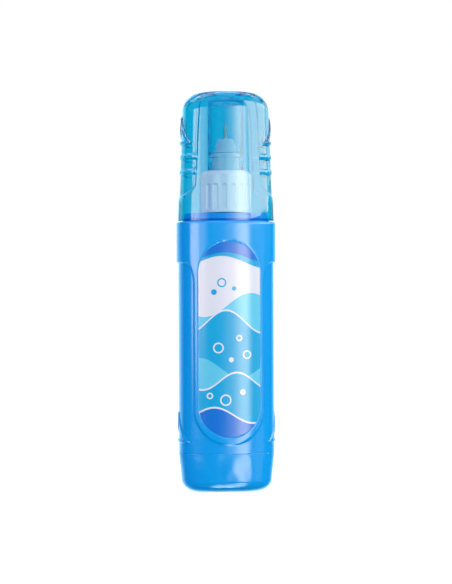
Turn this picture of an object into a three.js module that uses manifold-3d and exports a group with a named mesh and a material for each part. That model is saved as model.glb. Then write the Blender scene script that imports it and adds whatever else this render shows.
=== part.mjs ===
// Correction fluid squeeze bottle with a metal tip, a sprung needle valve and a clear pull-off cap.
// Millimetres, +Z up. The base rests on z = 0, the front label faces -Y and the width lies along X.
import * as THREE from "three";
import { mergeVertices } from "three/addons/utils/BufferGeometryUtils.js";
import Module from "manifold-3d";

const wasm = await Module();
wasm.setup();

// Driving dimensions: plan section, a rounded oblong |x/a|^n + |y/b|^n = 1
const sectionExponent = 2.6;
const sectionPoints = 48;
const bandWidth = 27.8;
const sideRecess = 0.55; // how far the body's sides lie below the band and the tongue
const bodyWall = 1.2;

// Driving dimensions: heights of the body, from the base up
const plugHeight = 11.0;
const recessLength = 53.3; // from the base plug's seam to the band's lower edge
const bandHeight = 11.5;
const bandChamfer = 0.6;
const shoulderRound = 0.4;
const spigotHeight = 2.2;
const neckHeight = 9.1;

// Driving dimensions: base plug
const baseTaper = 0.7; // narrowing of the plug, each side, from its seam to its bottom corner
const baseCornerRise = 3.6;
const baseCornerRun = 4.4;
const plugFloor = 1.8;
const plugLipHeight = 3.5;
const plugLipWall = 1.0;
const baseDishDepth = 0.4;
const baseDishLand = 1.4; // flat ring between the base's edge and its dish

// Driving dimensions: front and back tongues and their labels
const tongueWidth = 19.8;
const tongueBottom = 2.5; // above the base plug's seam
const tongueFlareRun = 2.6;
const tongueFlareRise = 6.0;
const labelSideMargin = 1.2; // from the tongue's edges
const labelFootMargin = 2.1; // from the tongue's round lower end
const labelTopInset = 5.7; // below the band's top
const labelThickness = 0.13;
const labelSink = 0.02; // the label's face below the tongue's
const labelGap = 0.1;

// Driving dimensions: raised triangle outlines on the narrow sides, their points upwards
// Each base is a height above the plug's seam or above the cap's mouth.
const bodyArrow = { base: 3.0, height: 8.4, width: 12.0, rim: 0.9, proud: 0.3 };
const capArrow = { base: 21.2, height: 7.8, width: 11.3, rim: 1.0, proud: 0.45 };
const arrowCorner = 0.6;

// Driving dimensions: neck, gasket, collar and nozzle
const neckDiameter = 11.0;
const neckWall = 1.3;
const neckBead = 0.3;
const neckBeadHeight = 1.2;
const neckBeadDrop = 3.0; // bead's middle below the neck's rim
const gasketThickness = 0.7;
const flangeThickness = 0.9;
const collarWall = 1.25;
const collarTop = 1.1;
const collarRound = 1.6;
const fluteCount = 18;
const fluteWidth = 1.4;
const fluteDepth = 0.3;
const fluteFoot = 0.9; // above the collar's lower edge
const fluteHeight = 7.0;
const nozzleDiameter = 7.8;
const nozzleBaseHeight = 5.4;
const snapBead = 0.2;
const snapBeadHeight = 1.4;
const snapBeadRise = 3.6; // bead's lower edge above the collar
const coneBottomDiameter = 6.6;
const coneTopDiameter = 4.8;
const coneHeight = 3.7;
const coneRound = 0.5;

// Driving dimensions: metal tip and needle valve
const tipWall = 0.15;
const tipLength = 3.6;
const tipBodyDiameter = 2.4;
const tipBodyLength = 3.0;
const tipShoulder = 0.5;
const needleDiameter = 0.6;
const needleReach = 0.6; // how far the needle stands out of the tip, which is its press travel
const needleFlangeThickness = 0.5;
const needleTailDiameter = 1.0;
const needleTailDip = 2.0; // length of the tail inside the spring seat
const springLength = 3.7;
const springWire = 0.3;
const springRoom = 0.35; // from the spring to the needle's tail and to its chamber's wall
const springCurls = 4;
const nozzleWall = 1.3; // round the spring seat
const springSeatHeight = 3.3;
const seatSlotCount = 3;
const seatSlotWidth = 0.9;
const seatSlotDepth = 0.8;
const mixingBallDiameter = 4.5;

// Driving dimensions: outer cap
const capStep = 0.38; // how far the cap's mouth lies inside the band's outline, each side
const capHeadroom = 5.5; // from the needle's end to the underside of the cap's dish
const capDraft = 0.0367; // inward lean of each side per millimetre of height
const capSideWall = 1.2;
const capFaceWall = 0.9;
const capTopWall = 1.1;
const capCornerRise = 5.2;
const capCornerRunX = 6.8;
const capCornerRunY = 1.8;
const pocketDepth = 0.3;
const pocketLand = 1.67; // from the cap's widest face to the pocket's edge, front and back
const pocketDraft = 0.018; // inward lean of the pocket's edges per millimetre of height
const pocketFoot = 6.2; // the pocket's lowest point above the cap's mouth
const pocketFootRise = 3.8;
const ribHeight = 1.2;
const ribLevels = [12.9, 17.1]; // lower edges of the grip ribs above the cap's mouth
const dishDiameter = 12.0;
const dishFloorDiameter = 7.2;
const dishDepth = 2.0;
const tubeWall = 0.85;
const tubeGrooveDepth = 0.2;
const postDiameter = 1.1;
const postRootDiameter = 2.6;
const postRootHeight = 0.8;

// Clearances
const capSeatGap = 0.3; // under the cap's mouth, its sealing tube and the collar's skirt
const spigotGap = 0.2;
const fitGap = 0.1; // between seated pieces
const collarRoom = 0.25; // between the collar and the cap's faces, at the collar's top
const tubeGap = 0.3; // between the nozzle and the cap's sealing tube
const postGap = 0.2; // between the needle's end and the cap's post
const valveGap = 0.15;
const overrun = 1.0; // how far a cutting shape passes the surface that it cuts

// Facets, and the distance within which vertices are one
const roundSegments = 28;
const thinSegments = 20; // of the needle and the cap's post
const arcSteps = 4; // to a quarter of a rounded edge
const outlineSteps = 6; // to each arc of an extruded outline
const ballSegments = 16;
const ballRings = 10;
const springSides = 5;
const springSteps = 8; // to one curl
const weld = 1e-4;

// Heights and radii that follow from them
const seamZ = plugHeight;
const bandZ = seamZ + recessLength;
const shoulderZ = bandZ + bandHeight;
const spigotZ = shoulderZ + spigotHeight;
const neckZ = spigotZ + neckHeight;
const gasketZ = neckZ + fitGap;
const flangeZ = gasketZ + gasketThickness + fitGap;
const collarCeilingZ = flangeZ + flangeThickness + fitGap;
const collarTopZ = collarCeilingZ + collarTop;
const collarFootZ = spigotZ + capSeatGap;
const coneZ = collarTopZ + nozzleBaseHeight;
const nozzleTopZ = coneZ + coneHeight;
const tipTopZ = nozzleTopZ + tipLength;
const needleTopZ = tipTopZ + needleReach;
const tipFootZ = nozzleTopZ - tipBodyLength;
const needleFlangeZ = tipFootZ - fitGap - needleFlangeThickness;
const springTopZ = needleFlangeZ - fitGap;
const springFootZ = springTopZ - springLength;
const seatTopZ = springFootZ - fitGap;
const seatFootZ = seatTopZ - springSeatHeight;
const capMouthZ = shoulderZ + capSeatGap;
const capCeilingZ = needleTopZ + capHeadroom;
const dishFloorZ = capCeilingZ + capTopWall;
const capTopZ = dishFloorZ + dishDepth;
const tubeFootZ = collarTopZ + capSeatGap;
const snapZ = collarTopZ + snapBeadRise;
const neckRadius = neckDiameter / 2;
const neckBoreRadius = neckRadius - neckWall;
const collarGrooveRadius = neckRadius + neckBead + fitGap;
const collarRadius = collarGrooveRadius + collarWall;
const capLean = capDraft * (collarTopZ - capMouthZ); // of each cap face, at the collar's top
const bandDepth = 2 * (collarRadius + collarRoom + capFaceWall + capLean + capStep);
const band = { a: bandWidth / 2, b: bandDepth / 2 };
const body = inset(band, sideRecess);
const capMouth = inset(band, capStep);
const spigot = {
  a: capMouth.a - capSideWall - spigotGap,
  b: capMouth.b - capFaceWall - spigotGap,
};
const pocketHalfWidth = capMouth.b - pocketLand;
const nozzleRadius = nozzleDiameter / 2;
const tubeBoreRadius = nozzleRadius + tubeGap;
const tubeRadius = tubeBoreRadius + tubeWall;
const seatRadius = nozzleRadius - nozzleWall - fitGap;
const tipBoreRadius = needleDiameter / 2 + valveGap;
const tipRadius = tipBoreRadius + tipWall;
const springRadius = (needleTailDiameter + springWire) / 2 + springRoom; // of the wire's centre line
const flangeRadius = springRadius + springWire / 2;
const chamberRadius = flangeRadius + springRoom;
const labelWidth = tongueWidth - 2 * labelSideMargin;
const labelFootZ = seamZ + tongueBottom + labelFootMargin;
const labelTopZ = shoulderZ - labelTopInset;
const labelPocket = labelThickness + labelSink + labelGap;

// Half sizes of a section drawn in by a distance on each side.
function inset(section, distance) {
  return { a: section.a - distance, b: section.b - distance };
}

// The closed manifold of a geometry whose faces point out, with coincident vertices joined.
function solidFrom(geometry) {
  const bare = geometry.index ? geometry.toNonIndexed() : geometry.clone();
  for (const name of Object.keys(bare.attributes)) {
    if (name !== "position") bare.deleteAttribute(name);
  }
  const merged = mergeVertices(bare, weld);
  const corners = merged.index.array;
  const triangles = [];
  for (let i = 0; i < corners.length; i += 3) {
    const [p, q, r] = corners.slice(i, i + 3);
    if (p !== q && q !== r && p !== r) triangles.push(p, q, r);
  }
  return new wasm.Manifold(
    new wasm.Mesh({
      numProp: 3,
      vertProperties: merged.attributes.position.array,
      triVerts: new Uint32Array(triangles),
    }),
  );
}

// The geometry of a manifold, for a mesh.
function geometryFrom(solid) {
  const { vertProperties, triVerts } = solid.getMesh();
  const geometry = new THREE.BufferGeometry();
  geometry.setAttribute("position", new THREE.BufferAttribute(vertProperties, 3));
  geometry.setIndex(new THREE.BufferAttribute(triVerts, 1));
  geometry.computeVertexNormals();
  return geometry;
}

// One ring of section points at a height, anticlockwise seen from above.
function ring(z, { a, b }) {
  const power = 2 / sectionExponent;
  const points = [];
  for (let i = 0; i < sectionPoints; i++) {
    const turn = (2 * Math.PI * i) / sectionPoints;
    const c = Math.cos(turn);
    const s = Math.sin(turn);
    const x = a * Math.sign(c) * Math.abs(c) ** power;
    const y = b * Math.sign(s) * Math.abs(s) ** power;
    points.push([x, y, z]);
  }
  return points;
}

// A closed solid through rings of section points, listed from the lowest up: [z, half sizes] each.
function loft(levels) {
  const rings = levels.map(([z, section]) => ring(z, section));
  const points = rings.flat();
  const n = sectionPoints;
  const faces = [];
  for (let k = 0; k + 1 < rings.length; k++) {
    for (let i = 0; i < n; i++) {
      const a = k * n + i;
      const b = k * n + ((i + 1) % n);
      faces.push(a, b, b + n, a, b + n, a + n);
    }
  }
  const lowest = points.push([0, 0, levels[0][0]]) - 1;
  const highest = points.push([0, 0, levels.at(-1)[0]]) - 1;
  const topRing = (rings.length - 1) * n;
  for (let i = 0; i < n; i++) {
    const j = (i + 1) % n;
    faces.push(lowest, j, i, highest, topRing + i, topRing + j);
  }
  const geometry = new THREE.BufferGeometry();
  geometry.setAttribute("position", new THREE.Float32BufferAttribute(points.flat(), 3));
  geometry.setIndex(faces);
  return solidFrom(geometry);
}

// A turned solid about Z from a closed outline of [radius, z] points.
function turned(outline, segments = roundSegments) {
  const points = outline.map(([r, z]) => new THREE.Vector2(r, z));
  if (THREE.ShapeUtils.area(points) < 0) points.reverse();
  points.push(points[0].clone());
  return solidFrom(new THREE.LatheGeometry(points, segments).rotateX(Math.PI / 2));
}

// A quarter of an ellipse as [run, rise] points, both from 0 to 1, starting along the rise.
function quarter() {
  return Array.from({ length: arcSteps + 1 }, (_, i) => {
    const turn = (Math.PI / 2) * (i / arcSteps);
    return [1 - Math.cos(turn), Math.sin(turn)];
  });
}

// A shape drawn in X and Z, made solid through the whole depth, or only from depth y0 to y1.
function throughDepth(shape, y0 = -bandDepth, y1 = bandDepth) {
  const geometry = new THREE.ExtrudeGeometry(shape, {
    depth: y1 - y0,
    bevelEnabled: false,
    curveSegments: outlineSteps,
  });
  return solidFrom(geometry.rotateX(Math.PI / 2).translate(0, y1, 0));
}

// A shape drawn in Y and Z, made solid through the whole width.
function throughWidth(shape) {
  const geometry = new THREE.ExtrudeGeometry(shape, {
    depth: 2 * bandWidth,
    bevelEnabled: false,
    curveSegments: outlineSteps,
  });
  return solidFrom(
    geometry.rotateX(Math.PI / 2).rotateZ(Math.PI / 2).translate(-bandWidth, 0, 0),
  );
}

// Outline of the band's underside and the tongue below it, in X and Z.
function tongueShape() {
  const half = tongueWidth / 2;
  const outside = bandWidth;
  const foot = seamZ + tongueBottom;
  const flareX = half + tongueFlareRun;
  const shape = new THREE.Shape();
  shape.moveTo(outside, shoulderZ + overrun);
  shape.lineTo(outside, bandZ);
  shape.lineTo(flareX, bandZ);
  shape.absellipse(
    flareX, bandZ - tongueFlareRise, tongueFlareRun, tongueFlareRise,
    Math.PI / 2, Math.PI, false,
  );
  shape.lineTo(half, foot + half);
  shape.absarc(0, foot + half, half, 0, -Math.PI, true);
  shape.lineTo(-half, bandZ - tongueFlareRise);
  shape.absellipse(
    -flareX, bandZ - tongueFlareRise, tongueFlareRun, tongueFlareRise,
    0, Math.PI / 2, false,
  );
  shape.lineTo(-outside, bandZ);
  shape.lineTo(-outside, shoulderZ + overrun);
  return shape;
}

// Outline of a label with round ends, drawn in by a margin, in X and Z.
function labelShape(margin) {
  const end = labelWidth / 2;
  const radius = end - margin;
  const shape = new THREE.Shape();
  shape.absarc(0, labelTopZ - end, radius, 0, Math.PI, false);
  shape.absarc(0, labelFootZ + end, radius, Math.PI, 2 * Math.PI, false);
  return shape;
}

// Outline of a raised triangle with its point up, in Y and Z. The corners are rounded.
function triangleShape(halfWidth, foot, height, corner) {
  const corners = [
    new THREE.Vector2(-halfWidth, foot),
    new THREE.Vector2(halfWidth, foot),
    new THREE.Vector2(0, foot + height),
  ];
  const shape = new THREE.Shape();
  corners.forEach((point, i) => {
    const before = corners[(i + 2) % 3];
    const after = corners[(i + 1) % 3];
    const start = point.clone().add(before.clone().sub(point).setLength(corner));
    const end = point.clone().add(after.clone().sub(point).setLength(corner));
    if (i === 0) shape.moveTo(start.x, start.y);
    else shape.lineTo(start.x, start.y);
    shape.quadraticCurveTo(point.x, point.y, end.x, end.y);
  });
  shape.closePath();
  return shape;
}

// A triangle outline of even rim width, with the hole's corners rounded as well.
function arrowRim(arrow, datumZ) {
  const foot = datumZ + arrow.base;
  const half = arrow.width / 2;
  const apexShift = (arrow.rim * Math.hypot(half, arrow.height)) / half;
  const holeFoot = foot + arrow.rim;
  const holeHeight = arrow.height - arrow.rim - apexShift;
  const holeHalf = (holeHeight * half) / arrow.height;
  const shape = triangleShape(half, foot, arrow.height, arrowCorner);
  shape.holes.push(triangleShape(holeHalf, holeFoot, holeHeight, arrowCorner / 2));
  return throughWidth(shape);
}

// The band's surface and everything level with it, with rounded top edge and chamfered underside.
function bandLoft(drawnIn) {
  const section = inset(band, drawnIn);
  const rounded = quarter().map(([run, rise]) => [
    shoulderZ - shoulderRound + rise * shoulderRound,
    inset(section, run * shoulderRound),
  ]);
  return loft([[seamZ, section], ...rounded]);
}

// Bottle: recessed body, band, tongues, triangle outlines, spigot and neck, hollow from the seam up.
function makeBottle() {
  const inner = inset(body, bodyWall);
  const roofZ = spigotZ - bodyWall;
  const roof = inset(spigot, bodyWall);
  const lower = loft([[seamZ, body], [shoulderZ - shoulderRound, body]]);
  const slope = loft([
    [bandZ - bandChamfer, body],
    [bandZ, inset(band, fitGap)],
    [bandZ + bandChamfer, band],
    [shoulderZ - shoulderRound, inset(band, fitGap)],
  ]);
  const bodyArrows = arrowRim(bodyArrow, seamZ).intersect(
    loft([[seamZ, inset(body, -bodyArrow.proud)], [bandZ, inset(body, -bodyArrow.proud)]]),
  );
  const top = loft([[shoulderZ - overrun, spigot], [spigotZ, spigot]]);
  const bead = neckRadius + neckBead;
  const beadZ = neckZ - neckBeadDrop;
  const neck = turned([
    [0, spigotZ - overrun],
    [neckRadius, spigotZ - overrun],
    [neckRadius, beadZ - neckBeadHeight / 2 - neckBead],
    [bead, beadZ - neckBeadHeight / 2],
    [bead, beadZ + neckBeadHeight / 2],
    [neckRadius, beadZ + neckBeadHeight / 2 + neckBead],
    [neckRadius, neckZ],
    [0, neckZ],
  ]);
  const cavity = loft([
    [seamZ - overrun, inner],
    [shoulderZ - bodyWall - spigotHeight, inner],
    [roofZ, roof],
  ]);
  const bore = turned([
    [0, roofZ - overrun],
    [neckBoreRadius, roofZ - overrun],
    [neckBoreRadius, neckZ + overrun],
    [0, neckZ + overrun],
  ]);
  const labelPockets = throughDepth(labelShape(0)).subtract(bandLoft(labelPocket));
  return lower
    .add(bandLoft(0).intersect(throughDepth(tongueShape())))
    .add(slope)
    .add(bodyArrows)
    .add(top)
    .add(neck)
    .subtract(labelPockets)
    .subtract(cavity)
    .subtract(bore);
}

// Base plug: tapered cup with round lower corners, a shallow dish underneath and a lip inside the body.
function makeBasePlug() {
  const corner = inset(body, baseTaper);
  const bottom = inset(corner, baseCornerRun);
  const rounded = quarter()
    .reverse()
    .map(([run, rise]) => [baseCornerRise * (1 - rise), inset(corner, run * baseCornerRun)]);
  const outer = loft([...rounded, [seamZ - fitGap, body]]);
  const lip = inset(body, bodyWall + fitGap);
  const inner = inset(lip, plugLipWall);
  const innerBottom = inset(inner, baseCornerRun / 2);
  const dish = inset(bottom, baseDishLand);
  const cup = loft([
    [plugFloor, innerBottom],
    [plugFloor + baseCornerRise / 2, inset(inner, baseTaper)],
    [seamZ, inner],
    [seamZ + plugLipHeight + overrun, inner],
  ]);
  return outer
    .add(loft([[seamZ - overrun, lip], [seamZ + plugLipHeight, lip]]))
    .subtract(cup)
    .subtract(loft([[-overrun, dish], [baseDishDepth, inset(dish, baseDishDepth)]]));
}

// A label in its pocket: facing is -1 for the front and 1 for the back.
function makeLabel(facing) {
  const skin = bandLoft(labelSink).subtract(bandLoft(labelSink + labelThickness));
  const near = facing < 0 ? -bandDepth : 0;
  const outline = throughDepth(labelShape(labelGap), near, near + bandDepth);
  return skin.intersect(outline);
}

// Seal ring between the neck's rim and the nozzle's flange.
function makeGasket() {
  return turned([
    [neckBoreRadius, gasketZ],
    [neckRadius, gasketZ],
    [neckRadius, gasketZ + gasketThickness],
    [neckBoreRadius, gasketZ + gasketThickness],
  ]);
}

// Collar that snaps over the neck's bead and holds the nozzle's flange down. Its skirt is fluted.
function makeCollar() {
  const outer = collarRadius;
  const grip = neckRadius + fitGap;
  const groove = collarGrooveRadius;
  const beadZ = neckZ - neckBeadDrop;
  const hole = nozzleRadius + fitGap;
  const rounded = quarter().map(([run, rise]) => [
    outer - run * collarRound,
    collarTopZ - collarRound + rise * collarRound,
  ]);
  const shell = turned([
    [grip, collarFootZ],
    [outer, collarFootZ],
    ...rounded,
    [hole, collarTopZ],
    [hole, collarCeilingZ],
    [groove, collarCeilingZ],
    [groove, beadZ - neckBeadHeight / 2 - neckBead],
    [grip, beadZ - neckBeadHeight / 2 - neckBead - neckBead],
  ]);
  const half = fluteWidth / 2;
  const shape = new THREE.Shape();
  shape.moveTo(-half, collarFootZ + fluteFoot);
  shape.lineTo(half, collarFootZ + fluteFoot);
  shape.absarc(0, collarFootZ + fluteFoot + fluteHeight - half, half, 0, Math.PI, false);
  const cutter = new THREE.ExtrudeGeometry(shape, {
    depth: overrun + fluteDepth,
    bevelEnabled: false,
    curveSegments: arcSteps,
  });
  cutter.rotateX(Math.PI / 2).translate(0, fluteDepth - outer, 0);
  let fluted = shell;
  for (let i = 0; i < fluteCount; i++) {
    const turnedCutter = cutter.clone().rotateZ((2 * Math.PI * i) / fluteCount);
    fluted = fluted.subtract(solidFrom(turnedCutter));
  }
  return fluted;
}

// Nozzle: flange, cylinder with snap bead, and cone. Bored for the tip, the spring and its seat.
function makeNozzle() {
  const bead = nozzleRadius + snapBead;
  const top = coneTopDiameter / 2;
  const tipBore = tipBodyDiameter / 2 + fitGap;
  const chamber = chamberRadius;
  const seatBore = seatRadius + fitGap;
  const rounded = quarter().map(([run, rise]) => [
    top - run * coneRound,
    nozzleTopZ - coneRound + rise * coneRound,
  ]);
  return turned([
    [seatBore, flangeZ],
    [neckRadius, flangeZ],
    [neckRadius, flangeZ + flangeThickness],
    [nozzleRadius, flangeZ + flangeThickness],
    [nozzleRadius, snapZ],
    [bead, snapZ + snapBead],
    [bead, snapZ + snapBeadHeight - snapBead],
    [nozzleRadius, snapZ + snapBeadHeight],
    [nozzleRadius, coneZ - coneRound],
    [coneBottomDiameter / 2, coneZ],
    ...rounded,
    [tipBore, nozzleTopZ],
    [tipBore, tipFootZ],
    [chamber, tipFootZ - fitGap],
    [chamber, seatTopZ + fitGap],
    [seatBore, seatTopZ + fitGap],
  ]);
}

// Metal tip: a body pressed into the nozzle, a shoulder and a thin tube.
function makeTip() {
  const bore = tipBoreRadius;
  const tube = tipRadius;
  return turned([
    [bore, tipFootZ],
    [tipBodyDiameter / 2, tipFootZ],
    [tipBodyDiameter / 2, nozzleTopZ],
    [tube, nozzleTopZ + tipShoulder],
    [tube, tipTopZ - tipWall],
    [tube - tipWall / 2, tipTopZ],
    [bore, tipTopZ],
  ]);
}

// Needle: thin shaft out of the tip, flange under the tip's foot, and a tail inside the spring seat.
function makeNeedle() {
  const shaft = needleDiameter / 2;
  const tail = needleTailDiameter / 2;
  const tailZ = seatTopZ - needleTailDip;
  return turned([
    [0, tailZ],
    [tail, tailZ],
    [tail, needleFlangeZ],
    [flangeRadius, needleFlangeZ],
    [flangeRadius, needleFlangeZ + needleFlangeThickness],
    [shaft, needleFlangeZ + needleFlangeThickness],
    [shaft, needleTopZ - shaft],
    [shaft / 2, needleTopZ],
    [0, needleTopZ],
  ], thinSegments);
}

// Spring seat: bush with a guide hole for the needle's tail and slots that feed the fluid past it.
function makeSpringSeat() {
  const outer = seatRadius;
  const hole = needleTailDiameter / 2 + valveGap;
  let seat = turned([
    [hole, seatFootZ],
    [outer, seatFootZ],
    [outer, seatTopZ],
    [hole, seatTopZ],
  ]);
  for (let i = 0; i < seatSlotCount; i++) {
    const slot = new THREE.BoxGeometry(
      seatSlotDepth + overrun, seatSlotWidth, springSeatHeight + 2 * overrun,
    );
    slot.translate(outer - seatSlotDepth + (seatSlotDepth + overrun) / 2, 0, (seatFootZ + seatTopZ) / 2);
    seat = seat.subtract(solidFrom(slot.rotateZ((2 * Math.PI * i) / seatSlotCount)));
  }
  return seat;
}

// Centre line of a coil spring that lies between its seat and the needle's flange.
class CoilLine extends THREE.Curve {
  // The point at t, from 0 at the lower end to 1 at the upper.
  getPoint(t, target = new THREE.Vector3()) {
    const rise = springLength - springWire;
    const turn = 2 * Math.PI * springCurls * t;
    return target.set(
      springRadius * Math.cos(turn),
      springRadius * Math.sin(turn),
      springFootZ + springWire / 2 + rise * t,
    );
  }
}

// Valve spring: one unbroken wire.
function makeSpring() {
  const coil = new CoilLine();
  const section = new THREE.Shape();
  for (let i = 0; i < springSides; i++) {
    const turn = (2 * Math.PI * i) / springSides;
    const x = (springWire / 2) * Math.cos(turn);
    const y = (springWire / 2) * Math.sin(turn);
    if (i === 0) section.moveTo(x, y);
    else section.lineTo(x, y);
  }
  section.closePath();
  const geometry = new THREE.ExtrudeGeometry(section, {
    steps: springSteps * springCurls,
    extrudePath: coil,
    bevelEnabled: false,
  });
  console.log("least gap of the valve spring to itself, mm:", coilGap(coil).toFixed(2));
  return solidFrom(geometry);
}

// Least distance between two curls' wires, measured on points of the centre line.
function coilGap(coil) {
  const curlSteps = 4 * springSteps;
  const steps = curlSteps * springCurls;
  const points = Array.from({ length: steps + 1 }, (_, i) => coil.getPoint(i / steps));
  let least = Infinity;
  for (let i = 0; i < points.length; i++) {
    for (let j = i + curlSteps / 2; j < points.length; j++) {
      least = Math.min(least, points[i].distanceTo(points[j]) - springWire);
    }
  }
  return least;
}

// Mixing ball, at rest on the base plug's floor.
function makeBall() {
  const radius = mixingBallDiameter / 2;
  const ball = new THREE.SphereGeometry(radius, ballSegments, ballRings);
  return solidFrom(ball.translate(0, 0, plugFloor + fitGap + radius));
}

// The cap's outer surface, its sides drawn in by a distance, as a solid from mouth to top.
function capLoft(drawnIn, footZ = capMouthZ) {
  const at = (z) => inset(capMouth, drawnIn + capDraft * (z - capMouthZ));
  const cornerZ = capTopZ - capCornerRise;
  const corner = at(cornerZ);
  const rounded = quarter().map(([run, rise]) => [
    cornerZ + rise * capCornerRise,
    { a: corner.a - run * capCornerRunX, b: corner.b - run * capCornerRunY },
  ]);
  return loft([[footZ, at(footZ)], ...rounded]);
}

// The hollow of the cap, before its tube and dished top are put back in.
function capHollow() {
  const at = (z) => {
    const lean = capDraft * (z - capMouthZ);
    return { a: capMouth.a - capSideWall - lean, b: capMouth.b - capFaceWall - lean };
  };
  const cornerZ = capTopZ - capCornerRise;
  const corner = at(cornerZ);
  const rise = capCornerRise - capTopWall;
  const rounded = quarter().map(([run, up]) => [
    cornerZ + up * rise,
    { a: corner.a - run * capCornerRunX, b: corner.b - run * capCornerRunY },
  ]);
  return loft([[capMouthZ - overrun, at(capMouthZ - overrun)], ...rounded]);
}

// Half of the pocket's width at a height.
function pocketHalf(z) {
  return pocketHalfWidth - pocketDraft * (z - capMouthZ);
}

// Outline of a side pocket, open at the top, in Y and Z.
function pocketShape() {
  const archZ = capMouthZ + pocketFoot + pocketFootRise;
  const highZ = capTopZ + overrun;
  const half = pocketHalf(archZ);
  const shape = new THREE.Shape();
  shape.moveTo(pocketHalf(highZ), highZ);
  shape.lineTo(-pocketHalf(highZ), highZ);
  shape.lineTo(-half, archZ);
  shape.absellipse(0, archZ, half, pocketFootRise, Math.PI, 2 * Math.PI, false);
  return shape;
}

// A grip rib across both pockets, as a bar in Y and Z.
function ribBar(level) {
  const z = capMouthZ + level;
  const half = pocketHalf(z);
  const shape = new THREE.Shape();
  shape.moveTo(-half, z);
  shape.lineTo(half, z);
  shape.lineTo(half, z + ribHeight);
  shape.lineTo(-half, z + ribHeight);
  return throughWidth(shape);
}

// Outer cap: clear shell with side pockets, ribs, triangle outlines, dished top, sealing tube and post.
function makeCap() {
  const pockets = throughWidth(pocketShape());
  const proud = capLoft(0);
  let outer = capLoft(pocketDepth).add(proud.subtract(pockets));
  for (const level of ribLevels) {
    outer = outer.add(ribBar(level).intersect(proud));
  }
  const arrows = arrowRim(capArrow, capMouthZ).intersect(capLoft(pocketDepth - capArrow.proud));
  outer = outer.add(arrows);
  const dishRim = dishDiameter / 2;
  const dishFloor = dishFloorDiameter / 2;
  const spread = (dishRim - dishFloor) / dishDepth;
  const boss = turned([
    [0, capCeilingZ],
    [dishFloor + capTopWall / 2, capCeilingZ],
    [dishRim + capTopWall, capTopZ - capTopWall / 2],
    [0, capTopZ - capTopWall / 2],
  ]);
  const tube = turned([
    [tubeBoreRadius, tubeFootZ],
    [tubeRadius, tubeFootZ],
    [tubeRadius, capTopZ - capTopWall],
    [tubeBoreRadius, capTopZ - capTopWall],
    [tubeBoreRadius, snapZ + snapBeadHeight],
    [tubeBoreRadius + tubeGrooveDepth, snapZ + snapBeadHeight - tubeGrooveDepth],
    [tubeBoreRadius + tubeGrooveDepth, snapZ + tubeGrooveDepth],
    [tubeBoreRadius, snapZ],
  ]);
  const postFootZ = needleTopZ + postGap;
  const post = turned([
    [0, postFootZ],
    [postDiameter / 2, postFootZ],
    [postDiameter / 2, capCeilingZ - postRootHeight],
    [postRootDiameter / 2, capCeilingZ],
    [postRootDiameter / 2, dishFloorZ],
    [0, dishFloorZ],
  ], thinSegments);
  const dish = turned([
    [0, dishFloorZ],
    [dishFloor, dishFloorZ],
    [dishRim + spread * overrun, capTopZ + overrun],
    [0, capTopZ + overrun],
  ]);
  return outer
    .subtract(capHollow())
    .add(boss.intersect(capLoft(capTopWall / 2)))
    .add(tube)
    .add(post)
    .subtract(dish);
}

// Finishes, as colour, roughness, metalness and opacity.
const bluePlastic = { color: 0x0a8fe6, roughness: 0.28 };
const clearPlastic = { color: 0x9ad4ec, roughness: 0.06, transparent: true, opacity: 0.4 };
const whitePlastic = { color: 0xeef2f5, roughness: 0.4 };
const labelFilm = { color: 0x5ccdf0, roughness: 0.35 };
const sealRubber = { color: 0xd9dcdc, roughness: 0.7 };
const steel = { color: 0xc4c8cc, roughness: 0.25, metalness: 1 };

const pieces = [
  ["bottle", makeBottle, bluePlastic],
  ["base_plug", makeBasePlug, bluePlastic],
  ["front_label", () => makeLabel(-1), labelFilm],
  ["back_label", () => makeLabel(1), labelFilm],
  ["neck_gasket", makeGasket, sealRubber],
  ["applicator_collar", makeCollar, whitePlastic],
  ["nozzle", makeNozzle, whitePlastic],
  ["metal_tip", makeTip, steel],
  ["valve_needle", makeNeedle, steel],
  ["valve_spring", makeSpring, steel],
  ["spring_seat", makeSpringSeat, whitePlastic],
  ["mixing_ball", makeBall, steel],
  ["outer_cap", makeCap, clearPlastic],
];

const correctionBottle = new THREE.Group();
for (const [name, make, finish] of pieces) {
  const mesh = new THREE.Mesh(geometryFrom(make()), new THREE.MeshStandardMaterial(finish));
  mesh.name = name;
  correctionBottle.add(mesh);
}

export default correctionBottle;
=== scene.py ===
"""Looks of a flat squeeze bottle for correction fluid, with a sprung needle tip and a clear pull-off cap.

Sizes are fields in millimetres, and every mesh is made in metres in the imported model's frame: +Z up through
the cap, +X along the bottle's width, the front label towards -Y. Walls are drawn as a tube that is divided
into rows, pressed into relief, and then carried on ring by ring from its two open ends until the skin closes.
"""

import logging
import math
from collections.abc import Callable, Sequence
from dataclasses import dataclass
from enum import Enum

import bmesh
import bpy
import numpy as np
from mathutils import Matrix, Vector


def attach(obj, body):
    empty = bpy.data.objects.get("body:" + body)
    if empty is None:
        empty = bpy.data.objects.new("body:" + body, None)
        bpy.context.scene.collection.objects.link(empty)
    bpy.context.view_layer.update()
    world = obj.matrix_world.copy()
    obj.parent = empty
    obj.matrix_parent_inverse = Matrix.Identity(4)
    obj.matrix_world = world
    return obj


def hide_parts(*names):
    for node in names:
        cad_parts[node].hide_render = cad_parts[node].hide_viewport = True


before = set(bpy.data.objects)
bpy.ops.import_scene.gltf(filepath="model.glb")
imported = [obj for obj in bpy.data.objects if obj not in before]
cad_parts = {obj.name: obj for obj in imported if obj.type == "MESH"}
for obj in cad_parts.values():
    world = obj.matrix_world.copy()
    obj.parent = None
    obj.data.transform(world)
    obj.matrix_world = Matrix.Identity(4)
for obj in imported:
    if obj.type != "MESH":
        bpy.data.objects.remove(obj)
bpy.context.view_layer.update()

LOG = logging.getLogger("correction_bottle")
MM = 0.001
SECTION_POWER = 2.6
NEAR = 1e-7
LEVEL = 5e-5  # how far from its height an open ring's vertex may be before it is levelled
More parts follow.
